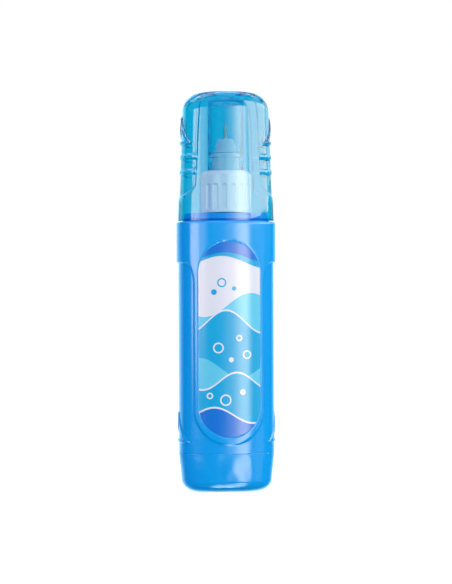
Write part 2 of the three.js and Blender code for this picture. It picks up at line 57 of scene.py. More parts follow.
EDGE_MARK = "relief_edge"  # attribute that is 1 on the slopes of pressed relief, where the clear cap gets its painted shade lines
CURVE_STEPS = 3  # rings along a soft corner, past its first
MEET = 0.1  # how far apart two open rings lie on a flat face before they are joined
Field = np.ndarray
Tree = bpy.types.NodeTree
Socket = bpy.types.NodeSocket
Shade = tuple[float, float, float]
COLOURS = {"data_type": "RGBA"}  # the setting by which a Mix node mixes colours


class Outline(Enum):
    """Plan outline that a wall starts from."""

    OBLONG = "rounded oblong"
    ROUND = "circle"


class Side(Enum):
    """Which broad side of the bottle something is on, as the sign of Y."""

    FRONT = -1
    BACK = 1


@dataclass(frozen=True)
class Corner:
    """A corner of a wall's upright profile: height and half sizes in millimetres.

    soft is the length that rounding takes off both legs, and true_round turns the ring into a circle there.
    """

    z: float
    a: float
    b: float
    soft: float = 0.0
    true_round: bool = False


def turn(z: float, radius: float, soft: float = 0.0, true_round: bool = False) -> Corner:
    """A corner of a turned wall, with one radius both ways."""
    return Corner(z, radius, radius, soft, true_round)


def ramp(distance: Field, width: float) -> Field:
    """Smooth step from 0 to 1 over a width that is centred on distance 0.

    Args:
        distance: Depth inside an outline, in millimetres, negative outside.
        width: Width of the slope between the two levels.

    Returns:
        Weights from 0 outside to 1 inside.
    """
    share = np.clip(distance / width + 0.5, 0, 1)
    return share * share * (3 - 2 * share)


def arc_corners(start: Corner, rise: float, end_a: float, end_b: float, steps: int) -> list[Corner]:
    """Corners along a quarter ellipse from an upright wall to a flat one.

    Args:
        start: Where the wall begins to lean in.
        rise: Height of the quarter, negative where it goes down.
        end_a: Half width where it ends.
        end_b: Half depth where it ends.
        steps: Rings along it.

    Returns:
        The corners after the start.
    """
    found = []
    for i in range(1, steps + 1):
        angle = math.pi / 2 * i / steps
        run = 1 - math.cos(angle)
        found.append(
            Corner(
                start.z + rise * math.sin(angle),
                start.a + (end_a - start.a) * run,
                start.b + (end_b - start.b) * run,
            )
        )
    return found


def softened(start: Corner, corners: Sequence[Corner]) -> list[Corner]:
    """Replaces each corner that has a soft length by a short curve.

    Args:
        start: The ring that the profile leaves from.
        corners: The profile's corners.

    Returns:
        The corners that the rings follow.
    """
    line = [start, *corners]
    made: list[Corner] = []
    for before, corner, after in zip(line, line[1:], [*line[2:], None]):
        if corner.soft == 0 or after is None:
            made.append(corner)
            continue
        p, c, q = (np.array((k.z, k.a, k.b)) for k in (before, corner, after))
        first = c + (p - c) * min(0.49, corner.soft / np.linalg.norm((p - c)[:2]))
        last = c + (q - c) * min(0.49, corner.soft / np.linalg.norm((q - c)[:2]))
        for i in range(CURVE_STEPS + 1):
            t = i / CURVE_STEPS
            z, a, b = first * (1 - t) ** 2 + 2 * c * t * (1 - t) + last * t**2
            made.append(Corner(float(z), float(a), float(b), 0.0, corner.true_round and i == 0))
    return made


def select_none() -> None:
    """Deselects every object."""
    for thing in bpy.context.selected_objects:
        thing.select_set(False)


class Wall:
    """A piece drawn as rings: an outline is extruded, sized and closed with the mesh tools."""

    def __init__(self, name: str, start: Corner, outline: Outline, points: int) -> None:
        """Draws the first ring.

        Args:
            name: The piece's name.
            start: Height and half sizes of the first ring.
            outline: Its shape.
            points: How many vertices it has.
        """
        select_none()
        size = start.a * MM
        if outline is Outline.OBLONG:
            bpy.ops.mesh.primitive_plane_add(size=2 * size)
        else:
            bpy.ops.mesh.primitive_circle_add(radius=size, vertices=points, fill_type="NGON")
        self.piece = bpy.context.object
        self.piece.name = self.piece.data.name = name
        bpy.ops.object.mode_set(mode="EDIT")
        bpy.ops.mesh.select_all(action="SELECT")
        if outline is Outline.OBLONG:
            bpy.ops.mesh.bevel(
                offset=size, segments=points // 4, profile=0.5 ** (2 / SECTION_POWER), affect="VERTICES"
            )
            bpy.ops.mesh.select_all(action="SELECT")
            bpy.ops.mesh.remove_doubles(threshold=NEAR)
        bpy.ops.transform.resize(value=(1, start.b / start.a, 1))
        bpy.ops.transform.translate(value=(0, 0, start.z * MM))
        bpy.ops.mesh.delete(type="ONLY_FACE")
        bpy.ops.mesh.select_mode(type="EDGE")
        bpy.ops.mesh.select_all(action="SELECT")
        self.at = start

    def mesh(self) -> bmesh.types.BMesh:
        """The mesh that is being edited."""
        return bmesh.from_edit_mesh(self.piece.data)

    def pick(self, test: Callable[[bmesh.types.BMEdge], bool]) -> None:
        """Selects just the edges that pass a test.

        Args:
            test: Says of an edge whether it is wanted.
        """
        bpy.ops.mesh.select_all(action="DESELECT")
        shape = self.mesh()
        for edge in shape.edges:
            edge.select = test(edge)
        shape.select_flush_mode()

    def ring(self, z: float) -> None:
        """Selects the open ring near a height, levels it there and takes its real half sizes.

        Args:
            z: The height in millimetres.
        """
        height = z * MM
        self.pick(lambda e: e.is_boundary and all(abs(v.co.z - height) < LEVEL for v in e.verts))
        bpy.ops.transform.resize(value=(1, 1, 0), center_override=(0, 0, height))
        self.measure(z)

    def measure(self, z: float) -> None:
        """Takes the half sizes of the selected ring."""
        chosen = [v.co for v in self.mesh().verts if v.select]
        self.at = Corner(z, max(abs(c.x) for c in chosen) / MM, max(abs(c.y) for c in chosen) / MM)

    def follow(self, *corners: Corner) -> None:
        """Carries the selected ring along a profile.

        Args:
            corners: The profile's corners, without the ring itself.
        """
        for corner in softened(self.at, corners):
            lift = (0, 0, (corner.z - self.at.z) * MM)
            bpy.ops.mesh.extrude_region_move(TRANSFORM_OT_translate={"value": lift})
            if corner.true_round:
                bpy.ops.transform.tosphere(value=1.0)
                self.measure(corner.z)
            factors = (corner.a / self.at.a, corner.b / self.at.b, 1)
            bpy.ops.transform.resize(value=factors, center_override=(0, 0, corner.z * MM))
            self.at = corner

    def rows(self, low: float, high: float, spacing: float) -> None:
        """Divides the strip between two rings into rows.

        Args:
            low: Height of the lower ring.
            high: Height of the upper ring.
            spacing: Height of a row.
        """
        ends = (low * MM, high * MM)
        self.pick(
            lambda e: abs(min(v.co.z for v in e.verts) - ends[0]) < 1e-6
            and abs(max(v.co.z for v in e.verts) - ends[1]) < 1e-6
        )
        bpy.ops.mesh.subdivide(number_cuts=max(1, round((high - low) / spacing) - 1))

    def press(self, name: str, depth: float, weight: Callable[[Field, Field, Field], Field]) -> None:
        """Presses relief into the wall along its normals, as a mould does.

        Args:
            name: What the relief is.
            depth: How far it stands out in millimetres, negative where it sinks in.
            weight: Gives each vertex its share of the depth, from its X, Y and Z in millimetres.
        """
        bpy.ops.mesh.select_all(action="SELECT")
        bpy.ops.mesh.normals_make_consistent(inside=False)
        bpy.ops.object.mode_set(mode="OBJECT")
        mesh = self.piece.data
        places = np.empty(3 * len(mesh.vertices))
        mesh.vertices.foreach_get("co", places)
        shares = weight(*(places.reshape(-1, 3).T / MM))
        group = self.piece.vertex_groups.new(name=name)
        for i in np.flatnonzero(shares > 0.002):
            group.add([int(i)], float(shares[i]), "REPLACE")
        relief = self.piece.modifiers.new(name, "DISPLACE")
        relief.direction = "NORMAL"
        relief.mid_level = 0
        relief.strength = depth * MM
        relief.vertex_group = name
        bpy.ops.object.modifier_apply(modifier=name)
        marks = mesh.attributes.get(EDGE_MARK) or mesh.attributes.new(EDGE_MARK, "FLOAT", "POINT")
        marked = np.empty(len(mesh.vertices))
        marks.data.foreach_get("value", marked)
        marks.data.foreach_set("value", np.maximum(marked, 4 * shares * (1 - shares)))
        self.piece.vertex_groups.remove(self.piece.vertex_groups[name])
        bpy.ops.object.mode_set(mode="EDIT")

    def close_point(self) -> None:
        """Closes the selected ring with a fan of faces to its middle."""
        bpy.ops.mesh.edge_face_add()
        bpy.ops.mesh.poke()

    def close_onto(self, z: float) -> None:
        """Closes the selected ring onto the other open ring.

        Args:
            z: That ring's height in millimetres.
        """
        height = z * MM
        shape = self.mesh()
        for edge in shape.edges:
            if edge.is_boundary and all(abs(v.co.z - height) < LEVEL for v in edge.verts):
                edge.select = True
        shape.select_flush_mode()
        bpy.ops.mesh.bridge_edge_loops()

    def finish(
        self, body: str, slot: str, nodes: Sequence[str], finish: "Finish", sharp: float = 50.0
    ) -> bpy.types.Object:
        """Turns the faces outwards, smooths, dresses and seats the piece.

        Args:
            body: The body that it rides on.
            slot: The record's material slot, which is not used.
            nodes: The CAD nodes that it stands for.
            finish: Its finish.
            sharp: Angle in degrees past which an edge stays sharp.

        Returns:
            The finished object.
        """
        bpy.ops.mesh.select_all(action="SELECT")
        bpy.ops.mesh.remove_doubles(threshold=NEAR)
        bpy.ops.mesh.normals_make_consistent(inside=False)
        bpy.ops.object.mode_set(mode="OBJECT")
        bpy.ops.object.shade_smooth_by_angle(angle=math.radians(sharp))
        return seat_piece(self.piece, body, nodes, finish)


def seat_piece(
    piece: bpy.types.Object, body: str, nodes: Sequence[str], finish: "Finish"
) -> bpy.types.Object:
    """Dresses a finished mesh, puts it on its body and lets it stand for its CAD nodes.

    Args:
        piece: The object, with its place in its mesh.
        body: The body that it rides on.
        nodes: The CAD nodes that it stands for.
        finish: Its finish.

    Returns:
        The same object.
    """
    finish.dress(piece)
    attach(piece, body)
    if nodes:
        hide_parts(*nodes)
    LOG.info("%s: %d faces", piece.name, len(piece.data.polygons))
    return piece


def linear(colour: str) -> tuple[float, float, float, float]:
    """The linear colour of an sRGB hex value."""
    parts = [int(colour[i : i + 2], 16) / 255 for i in (1, 3, 5)]
    return (*(p / 12.92 if p <= 0.04045 else ((p + 0.055) / 1.055) ** 2.4 for p in parts), 1.0)


def wire(tree: Tree, node: bpy.types.Node, **inputs: object) -> None:
    """Sets a node's inputs, or links them.

    Args:
        tree: The node tree.
        node: The node.
        inputs: A value or an output socket for each. Underscores stand for spaces, and i0, i1 for numbers.
    """
    for key, value in inputs.items():
        numbered = key[0] == "i" and key[1:].isdigit()
        socket = node.inputs[int(key[1:])] if numbered else node.inputs[key.replace("_", " ")]
        if isinstance(value, Socket):
            tree.links.new(value, socket)
        else:
            socket.default_value = value


def add(tree: Tree, kind: str, settings: dict | None = None, **inputs: object) -> bpy.types.Node:
    """Adds a node with its settings and links.

    Args:
        tree: The node tree.
        kind: The node's type, without the words that each type begins with.
        settings: Properties of the node.
        inputs: Its inputs, as wire takes them.

    Returns:
        The node.
    """
    node = tree.nodes.new("ShaderNode" + kind)
    for key, value in (settings or {}).items():
        setattr(node, key, value)
    wire(tree, node, **inputs)
    return node


@dataclass(frozen=True)
class Grain:
    """Noise over a piece, in the piece's own coordinates."""

    width_mm: float
    detail: float = 2.0  # how much finer structure it holds
    upright: float = 1.0  # its scale along the height; less than 1 draws it out into upright lines

    def lay(self, tree: Tree) -> Socket:
        """Adds the noise to a material.

        Args:
            tree: The material's node tree.

        Returns:
            The noise's value, mostly between 0.3 and 0.7.
        """
        spot = add(tree, "TexCoord").outputs["Object"]
        if self.upright != 1:
            spot = add(tree, "Mapping", Vector=spot, Scale=(1, 1, self.upright)).outputs["Vector"]
        scale = 1 / (self.width_mm * MM)
        return add(tree, "TexNoise", Vector=spot, Scale=scale, Detail=self.detail).outputs["Fac"]


class Finish:
    """A surface: a named material that is built once and given to pieces."""

    name = "plain"

    def dress(self, piece: bpy.types.Object) -> None:
        """Gives the piece this finish, which is built on its first use.

        Args:
            piece: The piece.
        """
        if self.name not in bpy.data.materials:
            self.build()
        piece.data.materials.clear()
        piece.data.materials.append(bpy.data.materials[self.name])

    def build(self) -> None:
        """Makes the material."""
        raise NotImplementedError

    def start(self) -> tuple[Tree, bpy.types.Node]:
        """Makes the empty material.

        Returns:
            Its node tree, and the Principled shader in it.
        """
        material = bpy.data.materials.new(self.name)
        material.use_nodes = True
        return material.node_tree, material.node_tree.nodes["Principled BSDF"]

    def wear(self, tree: Tree, gloss: Grain, low: float, high: float) -> None:
        """Gives the surface an uneven gloss.

        Args:
            tree: The material's node tree.
            gloss: How the gloss varies over the piece.
            low: Roughness where it is glossiest.
            high: Roughness where it is dullest.
        """
        value = gloss.lay(tree)
        spread = add(tree, "MapRange", Value=value, From_Min=0.3, From_Max=0.7, To_Min=low, To_Max=high)
        wire(tree, tree.nodes["Principled BSDF"], Roughness=spread.outputs["Result"])

    def emboss(self, tree: Tree, relief: Grain, depth_mm: float) -> None:
        """Gives the surface a fine relief.

        Args:
            tree: The material's node tree.
            relief: How the relief varies over the piece.
            depth_mm: Its real depth in millimetres.
        """
        bump = add(tree, "Bump", Height=relief.lay(tree), Distance=depth_mm * MM, Strength=1.0)
        wire(tree, tree.nodes["Principled BSDF"], Normal=bump.outputs["Normal"])


@dataclass(frozen=True)
class GlossMouldedPlastic(Finish):
    """Injection or blow moulded plastic: even colour, a soft gloss and a polished mould's faint ripple."""

    name: str = "blue gloss polypropylene"
    colour: str = "#00A6F5"
    deep_colour: str = "#00A1F1"
    roughness: float = 0.15
    flow_mm: float = 9.0  # width of the cloudy streaks that the melt leaves in the colour
    gloss_mm: float = 1.4
    ripple_mm: float = 2.2  # the faint orange peel that moulding leaves
    ripple_depth_mm: float = 0.0022
    ripple_detail: float = 1.0
    scatter: float = 0.0  # milkiness: how much light spreads inside the wall
    scatter_mm: float = 1.0

    def build(self) -> None:
        """Makes the material."""
        tree, skin = self.start()
        flow = Grain(self.flow_mm).lay(tree)
        colour = add(tree, "Mix", COLOURS, i0=flow, i6=linear(self.deep_colour), i7=linear(self.colour))
        wire(
            tree, skin, Base_Color=colour.outputs[2], IOR=1.49, Subsurface_Weight=self.scatter,
            Subsurface_Radius=(1.0, 1.0, 1.0), Subsurface_Scale=self.scatter_mm * MM,
        )
        self.wear(tree, Grain(self.gloss_mm), self.roughness - 0.02, self.roughness + 0.03)
        self.emboss(tree, Grain(self.ripple_mm, self.ripple_detail), self.ripple_depth_mm)


@dataclass(frozen=True)
class ClearTintedPlastic(Finish):
    """Clear moulded polystyrene with an aqua tint: pale straight through its wall, bluer through long paths,
    with painted shade in deeper lines where the wall steps, a painted deep blue rim light at its cut edge,
    and a polished mould's faint ripple.
    """

    name: str = "clear aqua polystyrene"
    colour: str = "#F4F1FB"
    painted_step_shade_colour: str = "#4AA0CC"  # painted shade: deeper lines where the wall steps, standing in for the light that the step bends away
    painted_rim_light_colour: str = "#129BD2"  # painted light: the deep blue at the mouth's cut edge, where light that ran along the wall comes out
    rim_bottom: float = 76.35
    rim_top: float = 76.6
    tint: Shade = (170.0, 34.0, 12.0)  # share of red, green and blue taken, per metre
    core_radius: float = 5.6
    core_top: float = 109.2
    roughness: float = 0.02
    ripple_depth_mm: float = 0.0015

    def outer(self, tree: Tree, axes: bpy.types.NodeOutputs) -> Socket:
        """Tells the outer wall from the sealing tube in its middle, whose thin wall takes no tint of its own.

        Args:
            tree: The material's node tree.
            axes: X, Y and Z of the place on the piece, in metres.

        Returns:
            1 on the outer wall and 0 on the tube.
        """
        flat = add(tree, "CombineXYZ", X=axes["X"], Y=axes["Y"]).outputs[0]
        reach = add(tree, "VectorMath", {"operation": "LENGTH"}, i0=flat).outputs["Value"]
        beyond, above = (
            add(tree, "Math", {"operation": "GREATER_THAN"}, i0=value, i1=limit * MM).outputs[0]
            for value, limit in ((reach, self.core_radius), (axes["Z"], self.core_top))
        )
        return add(tree, "Math", {"operation": "MAXIMUM"}, i0=beyond, i1=above).outputs[0]

    def build(self) -> None:
        """Makes the material."""
        tree, skin = self.start()
        white = (1, 1, 1, 1)
        spot = add(tree, "TexCoord").outputs["Object"]
        axes = add(tree, "SeparateXYZ", Vector=spot).outputs
        step = add(tree, "Attribute", {"attribute_name": EDGE_MARK}).outputs["Fac"]
        # the height band at the mouth's cut edge that gets the painted rim light
        rim = add(
            tree, "MapRange", Value=axes["Z"], To_Min=1.0, To_Max=0.0,
            From_Min=self.rim_bottom * MM, From_Max=self.rim_top * MM,
        ).outputs["Result"]
        colour: object = linear(self.colour)
        # paints the shade lines onto the relief's slopes and the rim light onto the mouth's cut edge, as base
        # colour
        for share, other in ((step, self.painted_step_shade_colour), (rim, self.painted_rim_light_colour)):
            colour = add(tree, "Mix", COLOURS, i0=share, i6=colour, i7=linear(other)).outputs[2]
        wall = add(tree, "Mix", COLOURS, i0=self.outer(tree, axes), i6=white, i7=colour)
        wire(tree, skin, Base_Color=wall.outputs[2], Transmission_Weight=1.0, IOR=1.49)
        self.wear(tree, Grain(2.0), self.roughness, self.roughness + 0.02)
        self.emboss(tree, Grain(5.0, 1.0), self.ripple_depth_mm)
        path = add(tree, "LightPath").outputs
        lit = add(tree, "Math", {"operation": "MAXIMUM"}, i0=path["Is Shadow Ray"], i1=path["Is Diffuse Ray"])
        clear = add(tree, "BsdfTransparent", Color=white)
        both = add(tree, "MixShader", i0=lit.outputs[0], i1=skin.outputs[0], i2=clear.outputs[0])
        density = max(self.tint) * 1.02
        passed = [1 - taken / density for taken in self.tint]
        tint = add(tree, "VolumeAbsorption", Color=(*passed, 1), Density=density)
        wire(tree, tree.nodes["Material Output"], Surface=both.outputs[0], Volume=tint.outputs["Volume"])


@dataclass(frozen=True)
class BrightSteel(Finish):
    """Drawn stainless steel: bright, with faint lines along the draw and slightly uneven polish."""

    name: str = "bright stainless steel"
    colour: str = "#C9CCCF"
    roughness: float = 0.27

    def build(self) -> None:
        """Makes the material."""
        tree, skin = self.start()
        wire(tree, skin, Base_Color=linear(self.colour), Metallic=1.0)
        draw_lines = Grain(0.08, 1.0, 0.05)
        self.wear(tree, draw_lines, self.roughness - 0.05, self.roughness + 0.1)


@dataclass(frozen=True)
class FoamedPolyethylene(Finish):
    """Soft foamed seal: matt, with fine closed cells."""

    name: str = "foamed polyethylene"
    colour: str = "#D9DCDC"

    def build(self) -> None:
        """Makes the material."""
        tree, skin = self.start()
        wire(tree, skin, Base_Color=linear(self.colour), Roughness=0.7)
        self.emboss(tree, Grain(0.25), 0.02)


@dataclass(frozen=True)
class PrintedFilm(Finish):
    """Satin polypropylene label film with a generic print of waves and bubbles in the label's own colours."""

    name: str = "printed label film"
    ground: str = "#E9E9F5"
    deep: str = "#0878DC"
    mid: str = "#00ADE4"
    pale: str = "#63CFF0"
    facing: Side = Side.FRONT
    soft_edge: float = 0.06  # width over which a printed edge fades, in millimetres
    ring_width: float = 0.4
    least_ring: float = 0.85  # smaller bubbles are printed as spots

    def wave(
        self, tree: Tree, across: Socket, level: float, swing: float, length: float, phase: float
    ) -> Socket:
        """Height of a wavy line over the label.

        Args:
            tree: The node tree.
            across: The place across the label, in millimetres.
            level: Mean height of the line.
            swing: Half its height from trough to crest.
            length: Length of one wave.
            phase: Shift along the wave, in turns.

        Returns:
            The line's height at that place, in millimetres.
        """
        scaled = {"operation": "MULTIPLY_ADD"}
        angle = add(tree, "Math", scaled, i0=across, i1=math.tau / length, i2=math.tau * phase)
        rise = add(tree, "Math", {"operation": "SINE"}, i0=angle.outputs[0])
        return add(tree, "Math", scaled, i0=rise.outputs[0], i1=swing, i2=level).outputs[0]

    def build(self) -> None:
        """Makes the material."""
        tree, skin = self.start()
        spot = add(tree, "TexCoord").outputs["Object"]
        axes = add(tree, "SeparateXYZ", Vector=spot).outputs
        across, up = (
            add(tree, "Math", {"operation": "MULTIPLY"}, i0=axes[axis], i1=scale / MM).outputs[0]
            for axis, scale in (("X", -self.facing.value), ("Z", 1))
        )
        flat = add(tree, "CombineXYZ", X=across, Y=up).outputs[0]
        layers = []  # what is subtracted from what gives the distance inside the shape, in millimetres
        for *line, tint in (
            (65.5, 1.5, 25.0, 0.3, self.mid),
            (64.3, 1.7, 25.0, 0.34, self.ground),
            (52.4, 3.3, 26.0, 0.02, self.pale),
            (48.0, 3.2, 21.0, 0.3, self.ground),
            (47.5, 3.2, 21.0, 0.3, self.mid),
            (35.0, 2.8, 23.0, 0.62, self.pale),
            (31.5, 2.4, 19.0, 0.15, self.ground),
            (31.0, 2.4, 19.0, 0.15, self.mid),
            (22.0, 2.2, 22.0, 0.45, self.ground),
            (21.5, 2.2, 22.0, 0.45, self.deep),
        ):
            layers.append((self.wave(tree, across, *line), up, tint))
        for x, z, radius in (
            (-3.2, 40.5, 1.5), (2.6, 43.2, 0.9), (0.4, 37.2, 0.7), (4.8, 38.6, 1.2), (-5.6, 27.2, 0.9),
            (-1.2, 26.0, 1.6), (3.6, 28.2, 0.8), (-4.4, 56.0, 0.8), (-2.2, 58.6, 1.3), (1.2, 57.0, 0.6),
        ):
            away = add(tree, "VectorMath", {"operation": "DISTANCE"}, i0=flat, i1=(x, z, 0)).outputs["Value"]
            tint, core = (self.ground, self.mid) if z < 50 else (self.mid, self.ground)
            layers.append((radius, away, tint))
            if radius > self.least_ring:
                layers.append((radius - self.ring_width, away, core))
        colour: object = linear(self.deep)
        for limit, reach, tint in layers:
            inside = add(tree, "Math", {"operation": "SUBTRACT"}, i0=limit, i1=reach).outputs[0]
            half = self.soft_edge / 2
            mask = add(tree, "MapRange", Value=inside, From_Min=-half, From_Max=half).outputs["Result"]
            colour = add(tree, "Mix", COLOURS, i0=mask, i6=colour, i7=linear(tint)).outputs[2]
        wire(tree, skin, Base_Color=colour, IOR=1.49)
        self.wear(tree, Grain(0.9), 0.15, 0.2)
        self.emboss(tree, Grain(3.0, 1.0), 0.002)


BLUE = GlossMouldedPlastic()
BLUE_BASE = GlossMouldedPlastic(
    name="blue gloss polypropylene with sink marks", roughness=0.16,
    ripple_mm=4.2, ripple_depth_mm=0.24, ripple_detail=0.0,
)
WHITE = GlossMouldedPlastic(
    name="white gloss polypropylene", colour="#F1F5F8", deep_colour="#E9EFF4", roughness=0.3,
    ripple_depth_mm=0.001, scatter=0.3, scatter_mm=1.2,
)
NATURAL = GlossMouldedPlastic(
    name="natural polypropylene", colour="#B6D4E2", deep_colour="#ACCDDD", roughness=0.26,
    ripple_depth_mm=0.001, scatter=0.4, scatter_mm=1.5,
)
CLEAR = ClearTintedPlastic()
STEEL = BrightSteel()
FOAM = FoamedPolyethylene()


@dataclass
class Bottle:
    """Blue squeeze bottle: recessed body, band, two tongues, triangle outlines, spigot and neck."""

    points: int = 400
    body_a: float = 13.35
    body_b: float = 8.644
    recess: float = 0.545
    wall: float = 1.2
    seam_z: float = 11.0
    seam_edge: float = 0.15  # height that the lower edge's rounding takes up
    band_z: float = 64.3
    band_edge: float = 1.2  # how far above that height the relief needs fine rows
    shoulder_z: float = 75.62
    shoulder_round: float = 0.4
    spigot_a: float = 12.12
    spigot_b: float = 7.714
    spigot_z: float = 78.0
    neck_radius: float = 5.5
    neck_bore: float = 4.2
    neck_z: float = 87.1
    tongue_width: float = 19.8
    tongue_foot: float = 13.5
    flare_run: float = 2.6
    flare_rise: float = 6.0
    label_half: float = 8.7
    label_low: float = 15.6
    label_high: float = 70.1
    label_sink: float = 0.24
    label_slope: float = 0.3  # width of the slope at the label bed's edge
    label_play: float = 0.05
    arrow_foot: float = 14.0
    arrow_height: float = 8.4
    arrow_half: float = 6.0
    arrow_rim: float = 0.9
    arrow_proud: float = 0.3
    step: float = 0.5  # width of the slope at the recess's edges
    relief_low: float = 25.0  # below this height and above the next, the relief needs fine rows
    relief_high: float = 57.0
    fine: float = 0.24
    coarse: float = 0.9

    def raised(self, x: Field, y: Field, z: Field) -> Field:
        """Share of the recess that stays raised: the band and the tongues.

        Args:
            x: Place along the width, in millimetres.
            y: Place along the depth, which is not used.
            z: Height.

        Returns:
            Weights from 0 to 1.
        """
        half = self.tongue_width / 2
        centre = self.tongue_foot + half
        across = np.where(z < centre, half - np.hypot(x, z - centre), half - np.abs(x))
        flare_x = half + self.flare_run
        flare_z = self.band_z - self.flare_rise
        u = (flare_x - np.abs(x)) / self.flare_run
        v = (z - flare_z) / self.flare_rise
        reach = np.hypot(u, v)
        slope = np.maximum(np.hypot(u / self.flare_run, v / self.flare_rise), NEAR)
        flare = np.where((u > 0) & (v > 0), (reach - 1) * reach / slope, -half)
        return ramp(np.maximum(np.maximum(across, flare), z - self.band_z), self.step)

    def label_bed(self, x: Field, y: Field, z: Field) -> Field:
        """Share of the shallow bed that each label lies in.

        Args:
            x: Place along the width, in millimetres.
            y: Place along the depth, which is not used.
            z: Height.

        Returns:
            Weights from 0 to 1.
        """
        low = self.label_low + self.label_half
        high = self.label_high - self.label_half
        reach = np.hypot(x, z - np.clip(z, low, high))
        return ramp(self.label_half - self.label_play - reach, self.label_slope)

    def arrow(self, x: Field, y: Field, z: Field) -> Field:
        """Share of the raised triangle outline on each narrow side."""
        return triangle_rim(y, z, self.arrow_half, self.arrow_foot, self.arrow_height, self.arrow_rim)

    def build(self) -> None:
        """Makes the bottle as one closed skin, with its hollow and the bore of its neck."""
        band_a = self.body_a + self.recess
        band_b = self.body_b + self.recess
        foot = Corner(self.seam_z + self.seam_edge, band_a, band_b)
        shoulder = self.shoulder_z - self.shoulder_round
        wall = Wall("squeeze_bottle", foot, Outline.OBLONG, self.points)
        stops = (self.relief_low, self.relief_high, self.band_z + self.band_edge, shoulder)
        wall.follow(*(Corner(z, band_a, band_b) for z in stops))
        spacings = (self.fine, self.coarse, self.fine, self.coarse / 2)
        for low, high, spacing in zip((foot.z, *stops), stops, spacings):
            wall.rows(low, high, spacing)
        wall.press("recess", -self.recess, lambda x, y, z: 1 - self.raised(x, y, z))
        wall.press("label_bed", -self.label_sink, self.label_bed)
        wall.press("arrow", self.arrow_proud, self.arrow)
        wall.ring(shoulder)
        inner_a, inner_b = self.body_a - self.wall, self.body_b - self.wall
        roof_z = self.spigot_z - self.wall
        edge = self.shoulder_round
        wall.follow(
            *arc_corners(wall.at, edge, wall.at.a - edge, wall.at.b - edge, 4),
            Corner(self.shoulder_z, self.spigot_a, self.spigot_b, 0.12),
            Corner(self.spigot_z, self.spigot_a, self.spigot_b, 0.3),
            turn(self.spigot_z, self.neck_radius + 0.6, 0.0, True),
            turn(self.spigot_z, self.neck_radius, 0.3),
            turn(self.neck_z, self.neck_radius, 0.2),
            turn(self.neck_z, self.neck_bore, 0.2),
            turn(roof_z, self.neck_bore, 0.3),
        )
        wall.ring(foot.z)
        wall.follow(
            Corner(self.seam_z, self.body_a, self.body_b, 0.12),
            Corner(self.seam_z, inner_a, inner_b, 0.1),
            Corner(self.shoulder_z - self.wall - 2.2, inner_a, inner_b, 1.0),
            Corner(roof_z, self.spigot_a - self.wall, self.spigot_b - self.wall, 0.4),
            turn(roof_z, self.neck_bore + 1.0, 0.0, True),
        )
        wall.close_onto(wall.at.z)
        wall.finish("bottle_unit", "blue_plastic", ["bottle"], BLUE)


@dataclass
class BasePlug:
    """Blue cup that closes the bottle from below, with a lip in its hollow and a flat ring to stand on."""

    bottle: Bottle
    points: int = 320
    seam_gap: float = 0.01
    seam_lip: float = 0.04  # how far the cup stands proud at the seam
    taper: float = 0.7
    rise: float = 3.6  # height of the rounding at the foot
    run: float = 4.4  # and how far it runs in
    play: float = 0.1  # between the lip and the bottle's hollow
    lip_height: float = 3.5
    lip_wall: float = 1.1
    foot_wall: float = 1.8
    floor: float = 1.8
    floor_wall: float = 3.3
    land: float = 1.4  # width of the ring that the bottle stands on
    dish_rim: float = 0.4
    dish_depth: float = 0.4

    def build(self) -> None:
        """Makes the cup: its side, lip and hollow first, then the foot and its shallow dish."""
        body, rise, play = self.bottle, self.rise, self.play
        inner_a, inner_b = body.body_a - body.wall, body.body_b - body.wall
        top, lip = body.seam_z - self.seam_gap, body.seam_z + self.lip_height
        corner = Corner(rise, body.body_a - self.taper, body.body_b - self.taper)
        land_a, land_b = corner.a - self.run, corner.b - self.run
        inset = self.land + self.dish_rim
        wall = Wall("base_cup", corner, Outline.OBLONG, self.points)
        wall.follow(
            Corner(top, body.body_a + self.seam_lip, body.body_b + self.seam_lip, 0.16),
            Corner(top, inner_a - play, inner_b - play, 0.05),
            Corner(lip, inner_a - play, inner_b - play, 0.2),
            Corner(lip, inner_a - self.lip_wall, inner_b - self.lip_wall, 0.2),
            Corner(rise, inner_a - self.foot_wall, inner_b - self.foot_wall, 0.8),
            Corner(self.floor, inner_a - self.floor_wall, inner_b - self.floor_wall, 0.6),
            Corner(self.floor, 2.0, 1.0),
        )
        wall.close_point()
        wall.rows(rise, top - 0.12, 0.5)
        wall.ring(rise)
        wall.follow(
            *arc_corners(wall.at, -rise, land_a, land_b, 16),
            Corner(0.0, land_a - self.land, land_b - self.land, 0.15),
            Corner(self.dish_depth, land_a - inset, land_b - inset, 0.15),
            Corner(self.dish_depth, 2.0, 0.5),
        )
        wall.close_point()
        wall.finish("bottle_unit", "blue_plastic", ["base_plug"], BLUE_BASE)


def triangle_rim(
    across: Field, z: Field, half: float, foot: float, height: float, rim: float, slope: float = 0.28
) -> Field:
    """Share of a triangle outline with its point up.

    Args:
        across: Place across the triangle.
        z: Height.
        half: Half its width.
        foot: Height of its base.
        height: Height from base to point.
        rim: Width of its outline.
        slope: Width of the slope at the rim's edges.

    Returns:
        Weights, 1 on the rim.
    """
    side = math.hypot(half, height)
    flank = ((half - np.abs(across)) * height - (z - foot) * half) / side
    inside = np.minimum(flank, z - foot)
    return ramp(inside, slope) * (1 - ramp(inside - rim, slope))


